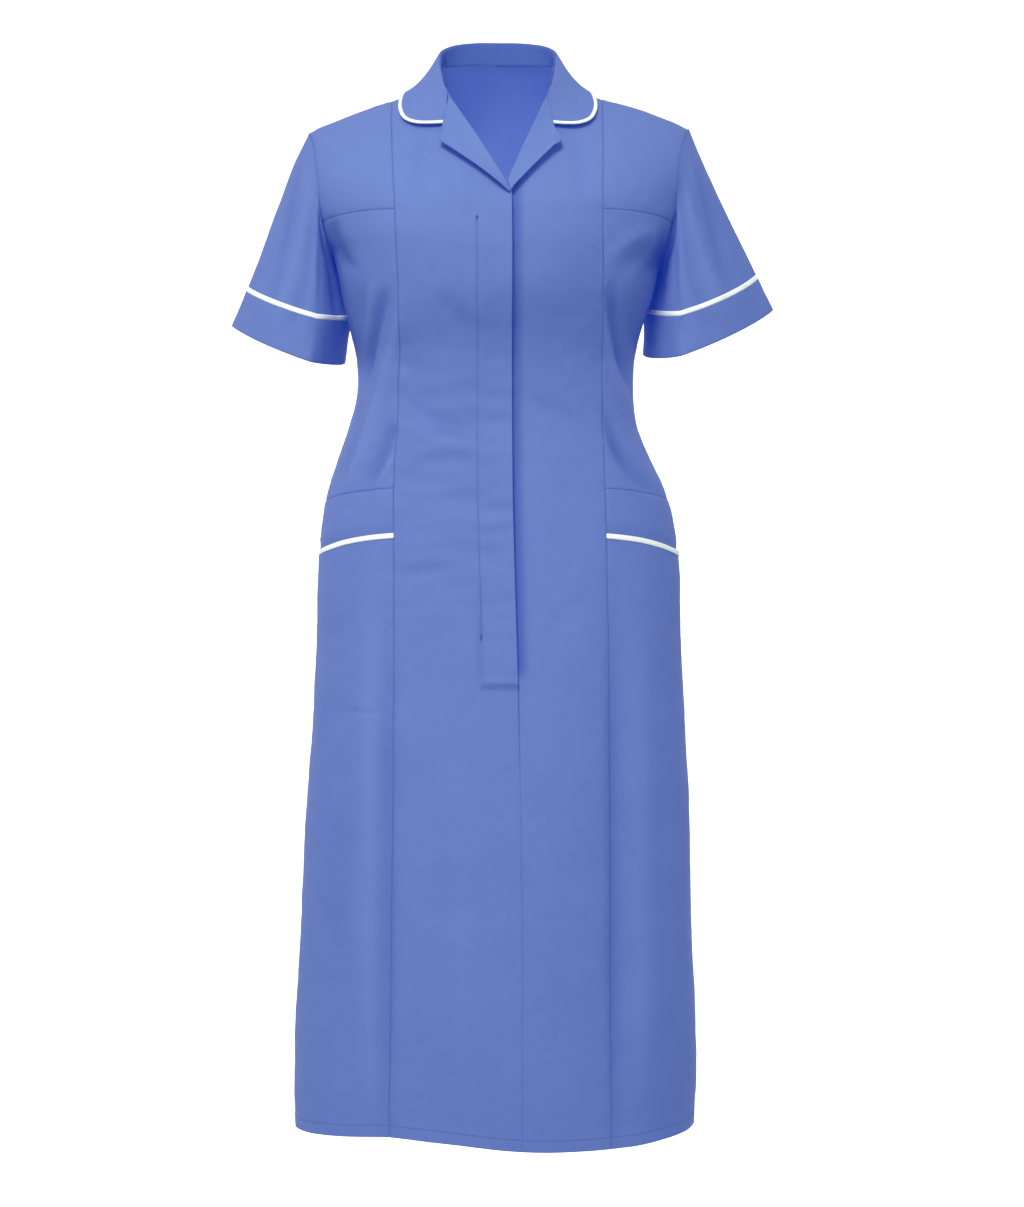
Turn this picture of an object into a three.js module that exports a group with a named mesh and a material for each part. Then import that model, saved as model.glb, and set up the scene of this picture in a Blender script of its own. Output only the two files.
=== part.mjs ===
// Nurse uniform dress, filled out with no wearer: a knee-length blue dress with princess seams, a bust seam,
// a concealed front fly, revers, a round-ended collar, short cuffed sleeves and hip pockets, piped in white.
// Millimetres, +Z up, the front faces -Y. The origin lies between the two shoulder points at the neck.
// Right and left are the wearer's: the right side of the dress is at -X.
import * as THREE from "three";

// Driving sizes
const CLOTH = 1.4; // wall of one panel
const BAND = 2.2; // wall of a folded band or piping
const SEAM = 0.5; // gap between two pieces at a seam
const LAP = CLOTH + SEAM; // height of one piece lying on another
const RING_POWER = 2.35; // roundness of the body's level sections
const SHOULDER_Y = 8; // where the shoulder seam lies, behind the middle
const SHOULDER_GAP = 1; // gap between front and back along the shoulder seam
const UNDERLAP = 32; // width of the left front under the fly
const FLY_END = { from: -600, to: -545 }; // the underlap runs out between these heights
const FLY_DIP = 110; // the underlap dips under the other front over this much more
const UNDERARM = -180; // height of the armhole's lowest point
const CHEST = -185; // below this height the panels' rows are level
const PIPING = 5; // visible width of the white piping
const PIPING_LIFT = 0.9; // how far the piping stands above the cloth beside it
const CUFF_LIFT = 0.5; // and the turned-up cuff
const NECK_HALF = 58; // from the middle to the shoulder point at the neck
const SHOULDER_ROUND = 0.6; // power that rounds the body's top over the shoulders
const SIDE_RADIUS = 130; // radius of the body at the side seam, to turn a gap into an angle
const EDGE_LIFT = 1.2; // how far the fly's free edge springs out
const EDGE_SPRING = 28; // over this width
const EDGE_TOP = { from: -110, to: -150 }; // fading in between these heights below the break
const UNDER_DROP = LAP + 0.4; // how far the underlap lies behind the front that laps over it
const UNDER_BEND = { from: 26, to: 5 }; // bending in between these distances beyond the fly's edge
const TUCK_BEND = 14; // height over which the pocket facing bends in behind the mouth
const FACING_TUCK = 16; // how far the pocket facing runs down behind the pocket mouth

// A table of numbers with named columns becomes a list of rows.
function rows(names, values) {
  const keys = names.split(" ");
  return values.map((row) => Object.fromEntries(keys.map((key, i) => [key, row[i]])));
}

// Level sections of the body, from under the hem to above the neck
const BODY = rows("z half shift front back", [
  [-1060, 198, -3, 141, 146],
  [-1042, 198.5, -3.5, 141, 146],
  [-987, 200.5, -2.5, 140, 145],
  [-923, 199, -2, 138, 144],
  [-827, 194.5, -1.5, 133, 141],
  [-715, 190, 0, 126, 138],
  [-620, 185, 1, 119, 135],
  [-555, 182, 1, 114, 132],
  [-491, 180.5, 0.5, 109, 128],
  [-443, 175.5, -0.5, 105, 120],
  [-411, 168, -2, 102, 112],
  [-379, 155.5, -4.5, 100, 102],
  [-347, 144, -5, 99, 93],
  [-315, 138, -3, 101, 88],
  [-283, 138.5, -2.5, 108, 90],
  [-251, 145.5, -2.5, 119, 95],
  [-220, 154.5, -0.5, 127, 101],
  [-180, 164, 0, 131, 106],
  [-165, 172, 0, 130, 107],
  [-150, 179, 0, 127, 108],
  [-135, 185, 0, 124, 109],
  [-105, 192, 0, 115, 108],
  [-75, 197, 0, 107, 106],
  [-52, 200, 0, 103, 104],
  [0, 203, 0, 100, 101],
  [60, 205, 0, 98, 98],
]);

// The shoulder's top line by distance from the middle, on the front and on the back, and how far down the
// rounding of each reaches
const SHOULDER = rows("x frontZ backZ front back", [
  [0, 42, 46, 165, 120],
  [18, 33, 42.5, 163, 118],
  [36, 19, 30, 158, 114],
  [50, 7, 11.5, 153, 110],
  [58, 0, 0, 150, 108],
  [98, -17, -17, 125, 98],
  [127, -27, -27, 108, 90],
  [170, -43, -43, 88, 80],
  [190, -52, -52, 80, 76],
  [225, -72, -72, 76, 74],
]);

// Edge of the body panels at the armhole
const ARMHOLE = rows("z x", [
  [UNDERARM, 164],
  [-172, 166.5],
  [-160, 170],
  [-135, 175],
  [-105, 177.5],
  [-75, 181.5],
  [-52, 189],
  [-40, 196],
]);

// Seams that run down the front
const FRONT_SEAMS = rows("z right left edge", [
  [-1060, -104, 110, 24.5],
  [-806, -102.5, 110, 24],
  [-616, -101, 109, 20],
  [-458, -100.5, 105.5, 15.5],
  [-411, -99.5, 103.5, 14.5],
  [-327, -97, 102, 14],
  [-260, -95.5, 103.5, 14],
  [-146, -99, 102, 14],
  [-40, -105, 104, 11],
  [40, -105, 104, 10],
]);

// Seams that run across the side panels, by distance out from the middle
const CROSS_SEAMS = rows("x bust facing mouth", [
  [90, -144, -411, -457],
  [125, -144, -413, -460],
  [150, -145.5, -416, -464],
  [170, -148, -420, -470],
  [190, -152, -424, -479],
]);

const HEM = rows("x z", [
  [-215, -1042],
  [-150, -1036],
  [-104, -1033],
  [-50, -1037],
  [30, -1045],
  [110, -1045],
  [160, -1042],
  [215, -1037],
]);
const BACK_HEM = -1042;

// Neck edge of each front: from the shoulder point down the roll line to where the fronts cross
const NECK_RIGHT = rows("x z", [
  [-58, 0],
  [-51, -14],
  [-46, -27],
  [14, -128],
]);
const NECK_LEFT = rows("x z", [
  [-24, -142],
  [2, -132],
  [8, -120],
  [48, -27],
  [53, -14],
  [58, 0],
]);
const BACK_NECK = rows("x z", [
  [-58, 0],
  [-52, 7],
  [-44, 15],
  [-32, 21],
  [-16, 24],
  [0, 24.5],
  [16, 24],
  [32, 21],
  [44, 15],
  [52, 7],
  [58, 0],
]);

// Largest soft folds: bearing round the body in degrees from the front, height, half length, half width in
// degrees, depth, and how many degrees the fold leans over its half length
const FOLDS = rows("bearing z length width depth lean", [
  [-66, -360, 95, 9, 3, 8],
  [-48, -400, 80, 7, 2.2, 9],
  [64, -372, 100, 9, 3, -8],
  [46, -385, 80, 7, 2, -6],
  [-58, -215, 70, 8, 2.4, 14],
  [58, -222, 75, 8, 2.6, -13],
  [-74, -760, 290, 8, 3, 3],
  [-26, -830, 260, 10, 2.2, -2],
  [30, -800, 280, 10, 2.6, 3],
  [72, -790, 270, 8, 3, -3],
  [118, -780, 280, 10, 4, 3],
  [156, -820, 260, 9, 4, -2],
  [-150, -800, 270, 10, 4, 2],
  [-116, -790, 280, 9, 4, -3],
  [150, -330, 70, 10, 3, 6],
  [-148, -325, 70, 10, 3, -6],
]);

// Sleeve sections from below the armhole to the cuff's edge: outer and inner point seen from the front,
// half depth, how much lower the front hangs than the back, how far the tube is pressed flat, and how far
// its inner fold tucks in behind the body's side
const SLEEVE_RIGHT = rows("outX outZ inX inZ depth dip fold tuck", [
  [-204, -84, -163.5, -191, 53, 2, 0.6, 2.4],
  [-220, -127, -160.5, -203, 57, 5, 0.9, 3.6],
  [-236, -170, -156.5, -219, 60, 9, 1, 3.8],
  [-251, -209, -152.5, -237, 61, 13, 1, 3.2],
  [-258, -227, -153.5, -259, 61, 14, 1, 1],
  [-266, -246, -155.5, -280, 61, 15, 1, 0],
]);
const SLEEVE_LEFT = rows("outX outZ inX inZ depth dip fold tuck", [
  [204, -81, 163.5, -191, 53, 2, 0.6, 2.4],
  [222, -119, 160.2, -203, 57, 5, 0.9, 3.6],
  [241, -159, 155.5, -217, 60, 10, 1, 3.8],
  [259, -197, 150.5, -233, 61, 15, 1, 3.2],
  [267, -214, 148.5, -254, 61, 17, 1, 1],
  [275, -230, 147, -273, 61, 18, 1, 0],
]);
const CUFF_SEAM = 4; // station of the sleeve table, counted from the armhole, where the cuff begins

// Half of the collar, from the middle of the back to its front end: the neck seam, the roll where it folds
// over, and the fall's outer edge; behind tells that the neck seam lies on the back
const COLLAR = rows("neckX neckZ rollX rollY rollZ edgeX edgeY edgeZ behind", [
  [0, 24.5, 0, 55, 48.2, 0, 90, -6, 1],
  [16, 24, 16, 53.5, 47.8, 25, 86.5, -6.2, 1],
  [31, 21.3, 32, 48.5, 46, 49, 71, -9, 1],
  [43, 15.6, 46, 38.5, 42, 69, 50, -12.3, 1],
  [51.5, 7.6, 55, 24.5, 35.5, 85, 29, -12, 1],
  [56.3, 2.2, 58.7, 11, 28.5, 94.5, 9.5, -11.3, 1],
  [58, -0.5, 59, -2, 21, 98, -6, -14.8, 0],
  [56.5, -4, 58.5, -13, 13.5, 98.5, -19, -21, 0],
  [54.8, -8.5, 57.2, -25, 5, 96.5, -34, -30, 0],
  [53, -13, 55.2, -35, -4.5, 91, -49.5, -40.5, 0],
  [51.6, -18, 53.2, -43, -11.5, 80, -62, -48.7, 0],
  [50.3, -22.5, 51.5, -48, -15.8, 66, -69.5, -52.5, 0],
  [49.3, -26.5, 49.8, -52.5, -19.5, 50.6, -74, -53, 0],
]);

// Outline of each rever on the front: along the roll line, and along its outer edge
const REVER_RIGHT = rows("rollX rollZ outX outZ", [
  [-46.5, -26, -49, -53],
  [-37, -42, -51.5, -66.5],
  [-27.5, -58, -54, -80],
  [-14, -81, -33, -95.5],
  [0, -104.5, -12, -111],
  [10, -121, 9, -126.5],
]);
const REVER_LEFT = rows("rollX rollZ outX outZ", [
  [47, -26, 48.8, -53],
  [41, -42, 53, -66.5],
  [34.5, -58, 58, -80],
  [27, -76, 43, -95],
  [18.5, -96.5, 29, -110.5],
  [10.8, -115, 16, -124.5],
]);

const BLUE = new THREE.MeshStandardMaterial({ color: 0x6d86cc, roughness: 0.85, metalness: 0 });
const WHITE = new THREE.MeshStandardMaterial({ color: 0xf4f6f5, roughness: 0.7, metalness: 0 });

const mix = (a, b, t) => a + (b - a) * t;
const clamp = (value, low, high) => Math.min(high, Math.max(low, value));
const smooth = (from, to, value) => {
  const t = clamp((value - from) / (to - from), 0, 1);
  return t * t * (3 - 2 * t);
};

// Smooth value of one table column at a place along another
function column(table, along, name, at) {
  const first = table[0][along] < table[table.length - 1][along];
  const list = first ? table : [...table].reverse();
  const last = list.length - 1;
  const place = clamp(at, list[0][along], list[last][along]);
  let i = 0;
  while (i < last - 1 && place > list[i + 1][along]) i++;
  const slope = (k) => {
    const a = list[Math.max(k - 1, 0)];
    const b = list[Math.min(k + 1, last)];
    return (b[name] - a[name]) / (b[along] - a[along]);
  };
  const span = list[i + 1][along] - list[i][along];
  const t = (place - list[i][along]) / span;
  const rise = t * t * (3 - 2 * t);
  return (
    mix(list[i][name], list[i + 1][name], rise) +
    span * (slope(i) * t * (1 - t) ** 2 - slope(i + 1) * t * t * (1 - t))
  );
}

const straight = (table, along, name, at) => {
  let i = 0;
  while (i < table.length - 2 && at > table[i + 1][along]) i++;
  const t = clamp((at - table[i][along]) / (table[i + 1][along] - table[i][along]), 0, 1);
  return mix(table[i][name], table[i + 1][name], t);
};

// Angle round the body, from the front, at which a level section reaches a distance across
function angleAt(x, z, behind = false) {
  const half = column(BODY, "z", "half", z);
  const depth = column(BODY, "z", behind ? "back" : "front", z);
  const across = clamp((x - column(BODY, "z", "shift", z)) / half, -1, 1);
  const along = depth * (1 - Math.abs(across) ** RING_POWER) ** (1 / RING_POWER);
  return Math.atan2(across * half, behind ? -along : along);
}

function foldDepth(angle, z) {
  const bearing = THREE.MathUtils.radToDeg(angle);
  return FOLDS.reduce((sum, fold) => {
    const up = (z - fold.z) / fold.length;
    const turn = ((bearing - fold.bearing - fold.lean * up + 540) % 360) - 180;
    return sum + fold.depth * Math.exp(-up * up * 2) * Math.exp(-((turn / fold.width) ** 2));
  }, 0);
}

// A point of the body's outer surface
function bodyPoint(angle, z) {
  const across = Math.sin(angle);
  const along = Math.cos(angle);
  const behind = along < 0;
  const half = column(BODY, "z", "half", z);
  const depth = column(BODY, "z", behind ? "back" : "front", z);
  const power = (Math.abs(across) / half) ** RING_POWER + (Math.abs(along) / depth) ** RING_POWER;
  const radius = power ** (-1 / RING_POWER) + foldDepth(angle, z);
  const x = column(BODY, "z", "shift", z) + radius * across;
  const reach = column(SHOULDER, "x", behind ? "back" : "front", Math.abs(x));
  const crest = column(SHOULDER, "x", behind ? "backZ" : "frontZ", Math.abs(x));
  const below = clamp((crest - z) / reach, 0, 1);
  const seam = SHOULDER_Y + (behind ? SHOULDER_GAP : -SHOULDER_GAP) / 2;
  const share = Math.sin((below * Math.PI) / 2) ** SHOULDER_ROUND;
  return new THREE.Vector3(x, mix(seam, -radius * along, share), z);
}

const onBody = (x, z, behind = false) => bodyPoint(angleAt(x, z, behind), z);

// Normals of a grid of points, from its neighbours
function gridNormals(grid, round) {
  const down = grid.length - 1;
  const over = grid[0].length - 1;
  return grid.map((line, i) =>
    line.map((_, j) => {
      const before = round ? (j + over) % (over + 1) : Math.max(j - 1, 0);
      const after = round ? (j + 1) % (over + 1) : Math.min(j + 1, over);
      const across = line[after].clone().sub(line[before]);
      const up = grid[Math.min(i + 1, down)][j].clone().sub(grid[Math.max(i - 1, 0)][j]);
      return across.cross(up).normalize();
    }),
  );
}

// A closed wall between a grid of outer points and the same points moved in by its thickness.
// Rows run upwards and columns run to the right as seen from outside; a round wall closes on itself.
function wall(grid, thick, { round = false, lift = () => 0, normals = gridNormals(grid, round) } = {}) {
  const outer = grid.map((line, i) =>
    line.map((p, j) => p.clone().addScaledVector(normals[i][j], lift(p))),
  );
  const depthOf = typeof thick === "function" ? thick : () => thick;
  const inner = outer.map((line, i) =>
    line.map((p, j) => p.clone().addScaledVector(normals[i][j], -depthOf(i, j))),
  );
  const high = grid.length;
  const wide = grid[0].length;
  const points = [...outer.flat(), ...inner.flat()];
  const at = (i, j, inside) => (inside ? high * wide : 0) + i * wide + (j % wide);
  const index = [];
  const quad = (a, b, c, d) => index.push(a, b, c, a, c, d);
  const spans = round ? wide : wide - 1;
  for (let i = 0; i < high - 1; i++) {
    for (let j = 0; j < spans; j++) {
      quad(at(i, j, 0), at(i, j + 1, 0), at(i + 1, j + 1, 0), at(i + 1, j, 0));
      quad(at(i, j, 1), at(i + 1, j, 1), at(i + 1, j + 1, 1), at(i, j + 1, 1));
    }
  }
  for (let j = 0; j < spans; j++) {
    quad(at(0, j, 1), at(0, j + 1, 1), at(0, j + 1, 0), at(0, j, 0));
    quad(at(high - 1, j, 0), at(high - 1, j + 1, 0), at(high - 1, j + 1, 1), at(high - 1, j, 1));
  }
  for (let i = 0; i < high - 1 && !round; i++) {
    quad(at(i, 0, 1), at(i, 0, 0), at(i + 1, 0, 0), at(i + 1, 0, 1));
    quad(at(i, wide - 1, 0), at(i, wide - 1, 1), at(i + 1, wide - 1, 1), at(i + 1, wide - 1, 0));
  }
  const geometry = new THREE.BufferGeometry();
  geometry.setAttribute("position", new THREE.Float32BufferAttribute(points.flatMap((p) => p.toArray()), 3));
  geometry.setIndex(index);
  geometry.computeVertexNormals();
  return geometry;
}

const PASSES = 40; // a point's height and angle depend on each other, so they are settled in passes
const RELAX = 0.7;

// Grid of a panel of the body between two angles that depend on height and two heights that depend on x.
// Rows crowd towards the top, and where a level is given the rows below it stay level.
function panelGrid({ from, to, bottom, top, across, up, crowd = 1, level, below = 0 }) {
  const heightAt = (i, x) => {
    if (i < below) return mix(bottom(x), level, i / below);
    const rise = 1 - (1 - (i - below) / (up - below)) ** crowd;
    return mix(below ? level : bottom(x), top(x), rise);
  };
  const grid = [];
  for (let i = 0; i <= up; i++) {
    const line = [];
    for (let j = 0; j <= across; j++) {
      let z = heightAt(i, 0);
      let angle = 0;
      for (let pass = 0; pass < PASSES; pass++) {
        angle = mix(from(z), to(z), j / across);
        z = mix(z, heightAt(i, bodyPoint(angle, z).x), RELAX);
      }
      line.push(bodyPoint(angle, z));
    }
    grid.push(line);
  }
  return grid;
}

const group = new THREE.Group();
function add(name, geometry, material = BLUE) {
  const mesh = new THREE.Mesh(geometry, material);
  mesh.name = name;
  group.add(mesh);
}

// Seam lines as functions of height or of distance across
const frontSeam = (name) => (z) => column(FRONT_SEAMS, "z", name, z);
const crossSeam = (name) => (x) => column(CROSS_SEAMS, "x", name, Math.abs(x));
const hemLine = (x) => column(HEM, "x", "z", x);
const shoulderLine = (x) => column(SHOULDER, "x", "frontZ", Math.abs(x));
const moved = (line, by) => (at) => line(at) + by;
const seamAngle = (line) => (z) => angleAt(line(z), z);

// Outer edge of the side panels: the side seam, or the armhole above the underarm
function sideAngle(side, behind) {
  const seam = Math.PI / 2 + ((behind ? 1 : -1) * SEAM) / 2 / SIDE_RADIUS;
  return (z) => {
    if (z <= UNDERARM) return side * seam;
    const edge = angleAt(column(ARMHOLE, "z", "x", z), z, behind);
    return side * (behind ? Math.max(edge, seam) : Math.min(edge, seam));
  };
}

const flyShare = (z) => smooth(FLY_END.from, FLY_END.to, z);
const dipShare = (z) => smooth(FLY_END.from - FLY_DIP, FLY_END.from, z);

// Front: the right centre laps over the left one along the fly
const edgeLine = frontSeam("edge");
function overLift(p) {
  const near = smooth(EDGE_SPRING, 0, edgeLine(p.z) - p.x);
  return EDGE_LIFT * flyShare(p.z) * near * smooth(EDGE_TOP.from, EDGE_TOP.to, p.z);
}
function underLift(p) {
  const beyond = p.x - edgeLine(p.z);
  return -UNDER_DROP * dipShare(p.z) * smooth(UNDER_BEND.from, UNDER_BEND.to, beyond);
}

function rightNeck(x) {
  return x < -NECK_HALF ? shoulderLine(x) : straight(NECK_RIGHT, "x", "z", x);
}
function leftNeck(x) {
  return x > NECK_HALF ? shoulderLine(x) : straight(NECK_LEFT, "x", "z", x);
}

add(
  "front_centre_right",
  wall(
    panelGrid({
      from: seamAngle(moved(frontSeam("right"), SEAM / 2)),
      to: seamAngle(moved(edgeLine, -SEAM / 2)),
      bottom: hemLine,
      top: rightNeck,
      across: 9,
      up: 33,
      crowd: 1.7,
      level: CHEST,
      below: 22,
    }),
    CLOTH,
    { lift: overLift },
  ),
);
add(
  "front_centre_left",
  wall(
    panelGrid({
      from: seamAngle((z) => edgeLine(z) + SEAM / 2 - UNDERLAP * flyShare(z)),
      to: seamAngle(moved(frontSeam("left"), -SEAM / 2)),
      bottom: hemLine,
      top: leftNeck,
      across: 9,
      up: 33,
      crowd: 1.7,
      level: CHEST,
      below: 22,
    }),
    CLOTH,
    { lift: underLift },
  ),
);

const SIDE_COLUMNS = 8; // spans across a side piece

// Side pieces of each front: shoulder piece, side piece, pocket facing, skirt side with the pocket's mouth
function addSide(name, side) {
  const inner = seamAngle(moved(frontSeam(name), (side * SEAM) / 2));
  const outer = sideAngle(side, false);
  const [from, to] = side < 0 ? [outer, inner] : [inner, outer];
  const piece = (label, bottom, top, up, options = {}) => {
    const grid = panelGrid({ from, to, bottom, top, across: SIDE_COLUMNS, up, ...options });
    add(`${label}_${name}`, wall(grid, CLOTH, options));
  };
  const bust = crossSeam("bust");
  const facing = crossSeam("facing");
  const mouthLine = crossSeam("mouth");
  const tuck = (p) => -LAP * smooth(TUCK_BEND, 0, p.z - mouthLine(p.x));
  piece("front_shoulder", moved(bust, SEAM / 2), shoulderLine, 9, { crowd: 1.8 });
  piece("front_side", moved(facing, SEAM / 2), moved(bust, -SEAM / 2), 12);
  piece("pocket_facing", moved(mouthLine, -FACING_TUCK), moved(facing, -SEAM / 2), 4, { lift: tuck });
  piece("skirt_side", hemLine, moved(mouthLine, -PIPING / 2 - SEAM), 16);
  const mouth = panelGrid({
    from,
    to,
    bottom: moved(mouthLine, -PIPING / 2),
    top: moved(mouthLine, PIPING / 2),
    across: SIDE_COLUMNS,
    up: 2,
  });
  add(`pocket_piping_${name}`, wall(mouth, BAND, { lift: () => PIPING_LIFT }), WHITE);
}
addSide("right", -1);
addSide("left", 1);

// Back, cut in one on the fold
const backTop = (x) => (Math.abs(x) < NECK_HALF ? straight(BACK_NECK, "x", "z", x) : shoulderLine(x));
const backAngle = (side) => (z) => (side < 0 ? 2 * Math.PI : 0) + sideAngle(side, true)(z);
add(
  "back",
  wall(
    panelGrid({
      from: backAngle(1),
      to: backAngle(-1),
      bottom: () => BACK_HEM,
      top: backTop,
      across: 24,
      up: 26,
      crowd: 1.8,
      level: CHEST,
      below: 16,
    }),
    CLOTH,
  ),
);

// Sleeves: the first section is the armhole itself, the others come from the tables
const ROUND = 32; // points round a sleeve
const ROUND_POWER = 2.2; // of a sleeve's section where it is round
const OUTER_POWER = 1.6; // and pressed flat, on its outer half
const INNER_POWER = 1.2; // and on its inner half
const SLEEVE_SKEW = 0.24; // how far the front fold lies towards the body, as a share of the width
const INNER_FOLD_BACK = 36; // how far behind the middle the inner fold lies
const TIP = -52; // height of the armhole's top, at the shoulder
const ARMHOLE_GAP = 1.4; // how far the sleeve starts outside the armhole's edge

function armholePoint(side, turn) {
  const z = mix(UNDERARM, TIP, (1 + Math.cos(turn)) / 2);
  const behind = side * Math.sin(turn) > 0;
  const point = onBody(side * column(ARMHOLE, "z", "x", z), z, behind);
  point.x += side * ARMHOLE_GAP;
  return point;
}

function sectionPoint(row, side, turn) {
  const cos = Math.cos(turn);
  const sin = Math.sin(turn);
  const power = mix(ROUND_POWER, cos < 0 ? INNER_POWER : OUTER_POWER, row.fold);
  const radius = (Math.abs(cos) ** power + Math.abs(sin) ** power) ** (-1 / power);
  const y = side * row.depth * radius * sin;
  const roundOutward = (1 + radius * cos) / 2;
  const nearTip = (1 - roundOutward) ** 3;
  const outward = roundOutward - SLEEVE_SKEW * row.fold * Math.max(0, -y / row.depth);
  return new THREE.Vector3(
    mix(row.inX, row.outX, outward) - side * row.tuck * nearTip,
    y + INNER_FOLD_BACK * row.fold * nearTip,
    mix(row.inZ, row.outZ, outward) + (row.dip * y) / row.depth,
  );
}

// A point of the sleeve at a turn round it, at a place along its sections
function sleevePoint(table, side, turn, place) {
  const stations = [armholePoint(side, turn), ...table.map((row) => sectionPoint(row, side, turn))];
  return new THREE.CatmullRomCurve3(stations, false, "catmullrom", 0.5).getPoint(place / table.length);
}

function addSleeve(name, side, table) {
  const turns = Array.from({ length: ROUND }, (_, j) => (2 * Math.PI * j) / ROUND);
  const step = 0.02;
  // The place along the sleeve that lies a distance beyond the cuff's seam
  const beyond = (turn, distance) => {
    const a = sleevePoint(table, side, turn, CUFF_SEAM);
    const b = sleevePoint(table, side, turn, CUFF_SEAM + step);
    return CUFF_SEAM + (distance * step) / a.distanceTo(b);
  };
  const tube = (low, high, count) =>
    Array.from({ length: count + 1 }, (_, i) =>
      turns.map((turn) => sleevePoint(table, side, turn, mix(low(turn), high(turn), i / count))),
    );
  const end = () => table.length;
  const above = (gap) => (turn) => beyond(turn, -PIPING / 2 - gap);
  const below = (gap) => (turn) => beyond(turn, PIPING / 2 + gap);
  const round = true;
  add(`sleeve_${name}`, wall(tube(above(SEAM), () => 0, 8), CLOTH, { round }));
  const piping = wall(tube(below(0), above(0), 2), BAND, { round, lift: () => PIPING_LIFT });
  add(`cuff_piping_${name}`, piping, WHITE);
  add(`cuff_${name}`, wall(tube(end, below(SEAM), 2), BAND, { round, lift: () => CUFF_LIFT }));
}
addSleeve("right", -1, SLEEVE_RIGHT);
addSleeve("left", 1, SLEEVE_LEFT);

// Collar: a stand round the neck and a fall that folds over it, from the left front end round the back
const FOLD_HALF = 2.6; // half the width of the fold at the roll
const FOLD_DROP = 3; // how far below the roll the two leaves part
const FALL_BOW = 5; // how far the fall sags between roll and edge where it is widest
const NECK_GAP = 1.6; // how far the stand starts above the neck edge
const COLLAR_STEPS = 19; // rows of points in half the collar

const collarTable = COLLAR.map((row, i) => ({ ...row, place: i }));
const collarReach = Math.max(...COLLAR.map((row) => row.edgeX));
const lastBehind = COLLAR.filter((row) => row.behind === 1).length - 0.5;

function collarSection(place, side) {
  const at = (name) => column(collarTable, "place", name, place);
  const neck = onBody(side * at("neckX"), at("neckZ"), place < lastBehind);
  neck.z += NECK_GAP;
  const roll = new THREE.Vector3(side * at("rollX"), at("rollY"), at("rollZ"));
  const edge = new THREE.Vector3(side * at("edgeX"), at("edgeY"), at("edgeZ"));
  const out = edge.clone().sub(neck).setZ(0).normalize();
  const stand = roll.clone().addScaledVector(out, -FOLD_HALF);
  stand.z -= FOLD_DROP;
  const fall = roll.clone().addScaledVector(out, FOLD_HALF);
  fall.z -= FOLD_DROP;
  return { neck, stand, roll, fall, edge };
}

// A point of the fall, a share of the way up from a distance inside its edge
function fallPoint(section, inside, share) {
  const { fall, edge } = section;
  const t = mix(inside / fall.distanceTo(edge), 1, share);
  const point = edge.clone().lerp(fall, t);
  point.z -= FALL_BOW * (Math.abs(edge.x) / collarReach) * 4 * t * (1 - t);
  return point;
}

const places = Array.from({ length: COLLAR_STEPS }, (_, i) => ((COLLAR.length - 1) * i) / (COLLAR_STEPS - 1));
const collarRows = [
  ...[...places].reverse().map((place) => collarSection(place, 1)),
  ...places.slice(1).map((place) => collarSection(place, -1)),
];
const pipingGrid = [0, PIPING / 2, PIPING].map((inside) => collarRows.map((s) => fallPoint(s, inside, 0)));
const collarGrid = [
  ...[0, 0.2, 0.4, 0.6, 0.8, 1].map((share) => collarRows.map((s) => fallPoint(s, PIPING + 2 * SEAM, share))),
  collarRows.map((s) => s.roll),
  ...[0, 0.5, 1].map((share) => collarRows.map((s) => s.stand.clone().lerp(s.neck, share))),
];
const collarNormals = gridNormals([...pipingGrid, ...collarGrid], false);
add("collar", wall(collarGrid, CLOTH, { normals: collarNormals.slice(pipingGrid.length) }));
add("collar_piping", wall(pipingGrid, BAND, { lift: () => PIPING_LIFT, normals: collarNormals }), WHITE);

// Revers: the turned-back tops of the two fronts, lying on them
const REVER_LIFT = LAP + 0.5; // a rever's outer face above the front it lies on
function addRever(name, table, outerFirst) {
  const columns = [0, 0.25, 0.5, 0.75, 1];
  const grid = [...table].reverse().map((row) =>
    columns.map((share) => {
      const t = outerFirst ? 1 - share : share;
      return onBody(mix(row.rollX, row.outX, t), mix(row.rollZ, row.outZ, t));
    }),
  );
  add(`lapel_${name}`, wall(grid, CLOTH, { lift: (p) => REVER_LIFT + overLift(p) }));
}
addRever("right", REVER_RIGHT, true);
addRever("left", REVER_LEFT, false);

export default group;
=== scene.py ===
"""Nurse uniform dress: the cloth, piping and stitching of each sewn piece, over the fixed frame."""

import math

import bpy
import numpy as np
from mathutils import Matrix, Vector


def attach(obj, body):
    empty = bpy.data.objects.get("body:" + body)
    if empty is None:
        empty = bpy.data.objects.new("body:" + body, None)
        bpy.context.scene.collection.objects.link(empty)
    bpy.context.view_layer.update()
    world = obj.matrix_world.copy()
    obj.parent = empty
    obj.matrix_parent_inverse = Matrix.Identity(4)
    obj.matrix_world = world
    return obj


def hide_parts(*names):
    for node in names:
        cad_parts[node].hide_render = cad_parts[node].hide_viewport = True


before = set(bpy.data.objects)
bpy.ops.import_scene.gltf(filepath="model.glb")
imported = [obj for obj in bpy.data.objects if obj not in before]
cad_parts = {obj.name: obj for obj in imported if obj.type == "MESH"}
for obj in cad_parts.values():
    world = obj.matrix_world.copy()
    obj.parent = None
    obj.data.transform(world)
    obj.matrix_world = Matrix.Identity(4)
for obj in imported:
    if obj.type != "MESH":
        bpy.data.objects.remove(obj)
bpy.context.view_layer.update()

bl_info = {
    "name": "Nurse uniform dress",
    "version": (1, 0, 0),
    "blender": (4, 5, 0),
    "location": "View3D > Sidebar > Dress",
    "description": "Builds a filled-out nurse uniform dress piece by piece",
    "category": "Object",
}

# Tables are in millimetres; the pieces are made in metres
MM = 0.001

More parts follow.
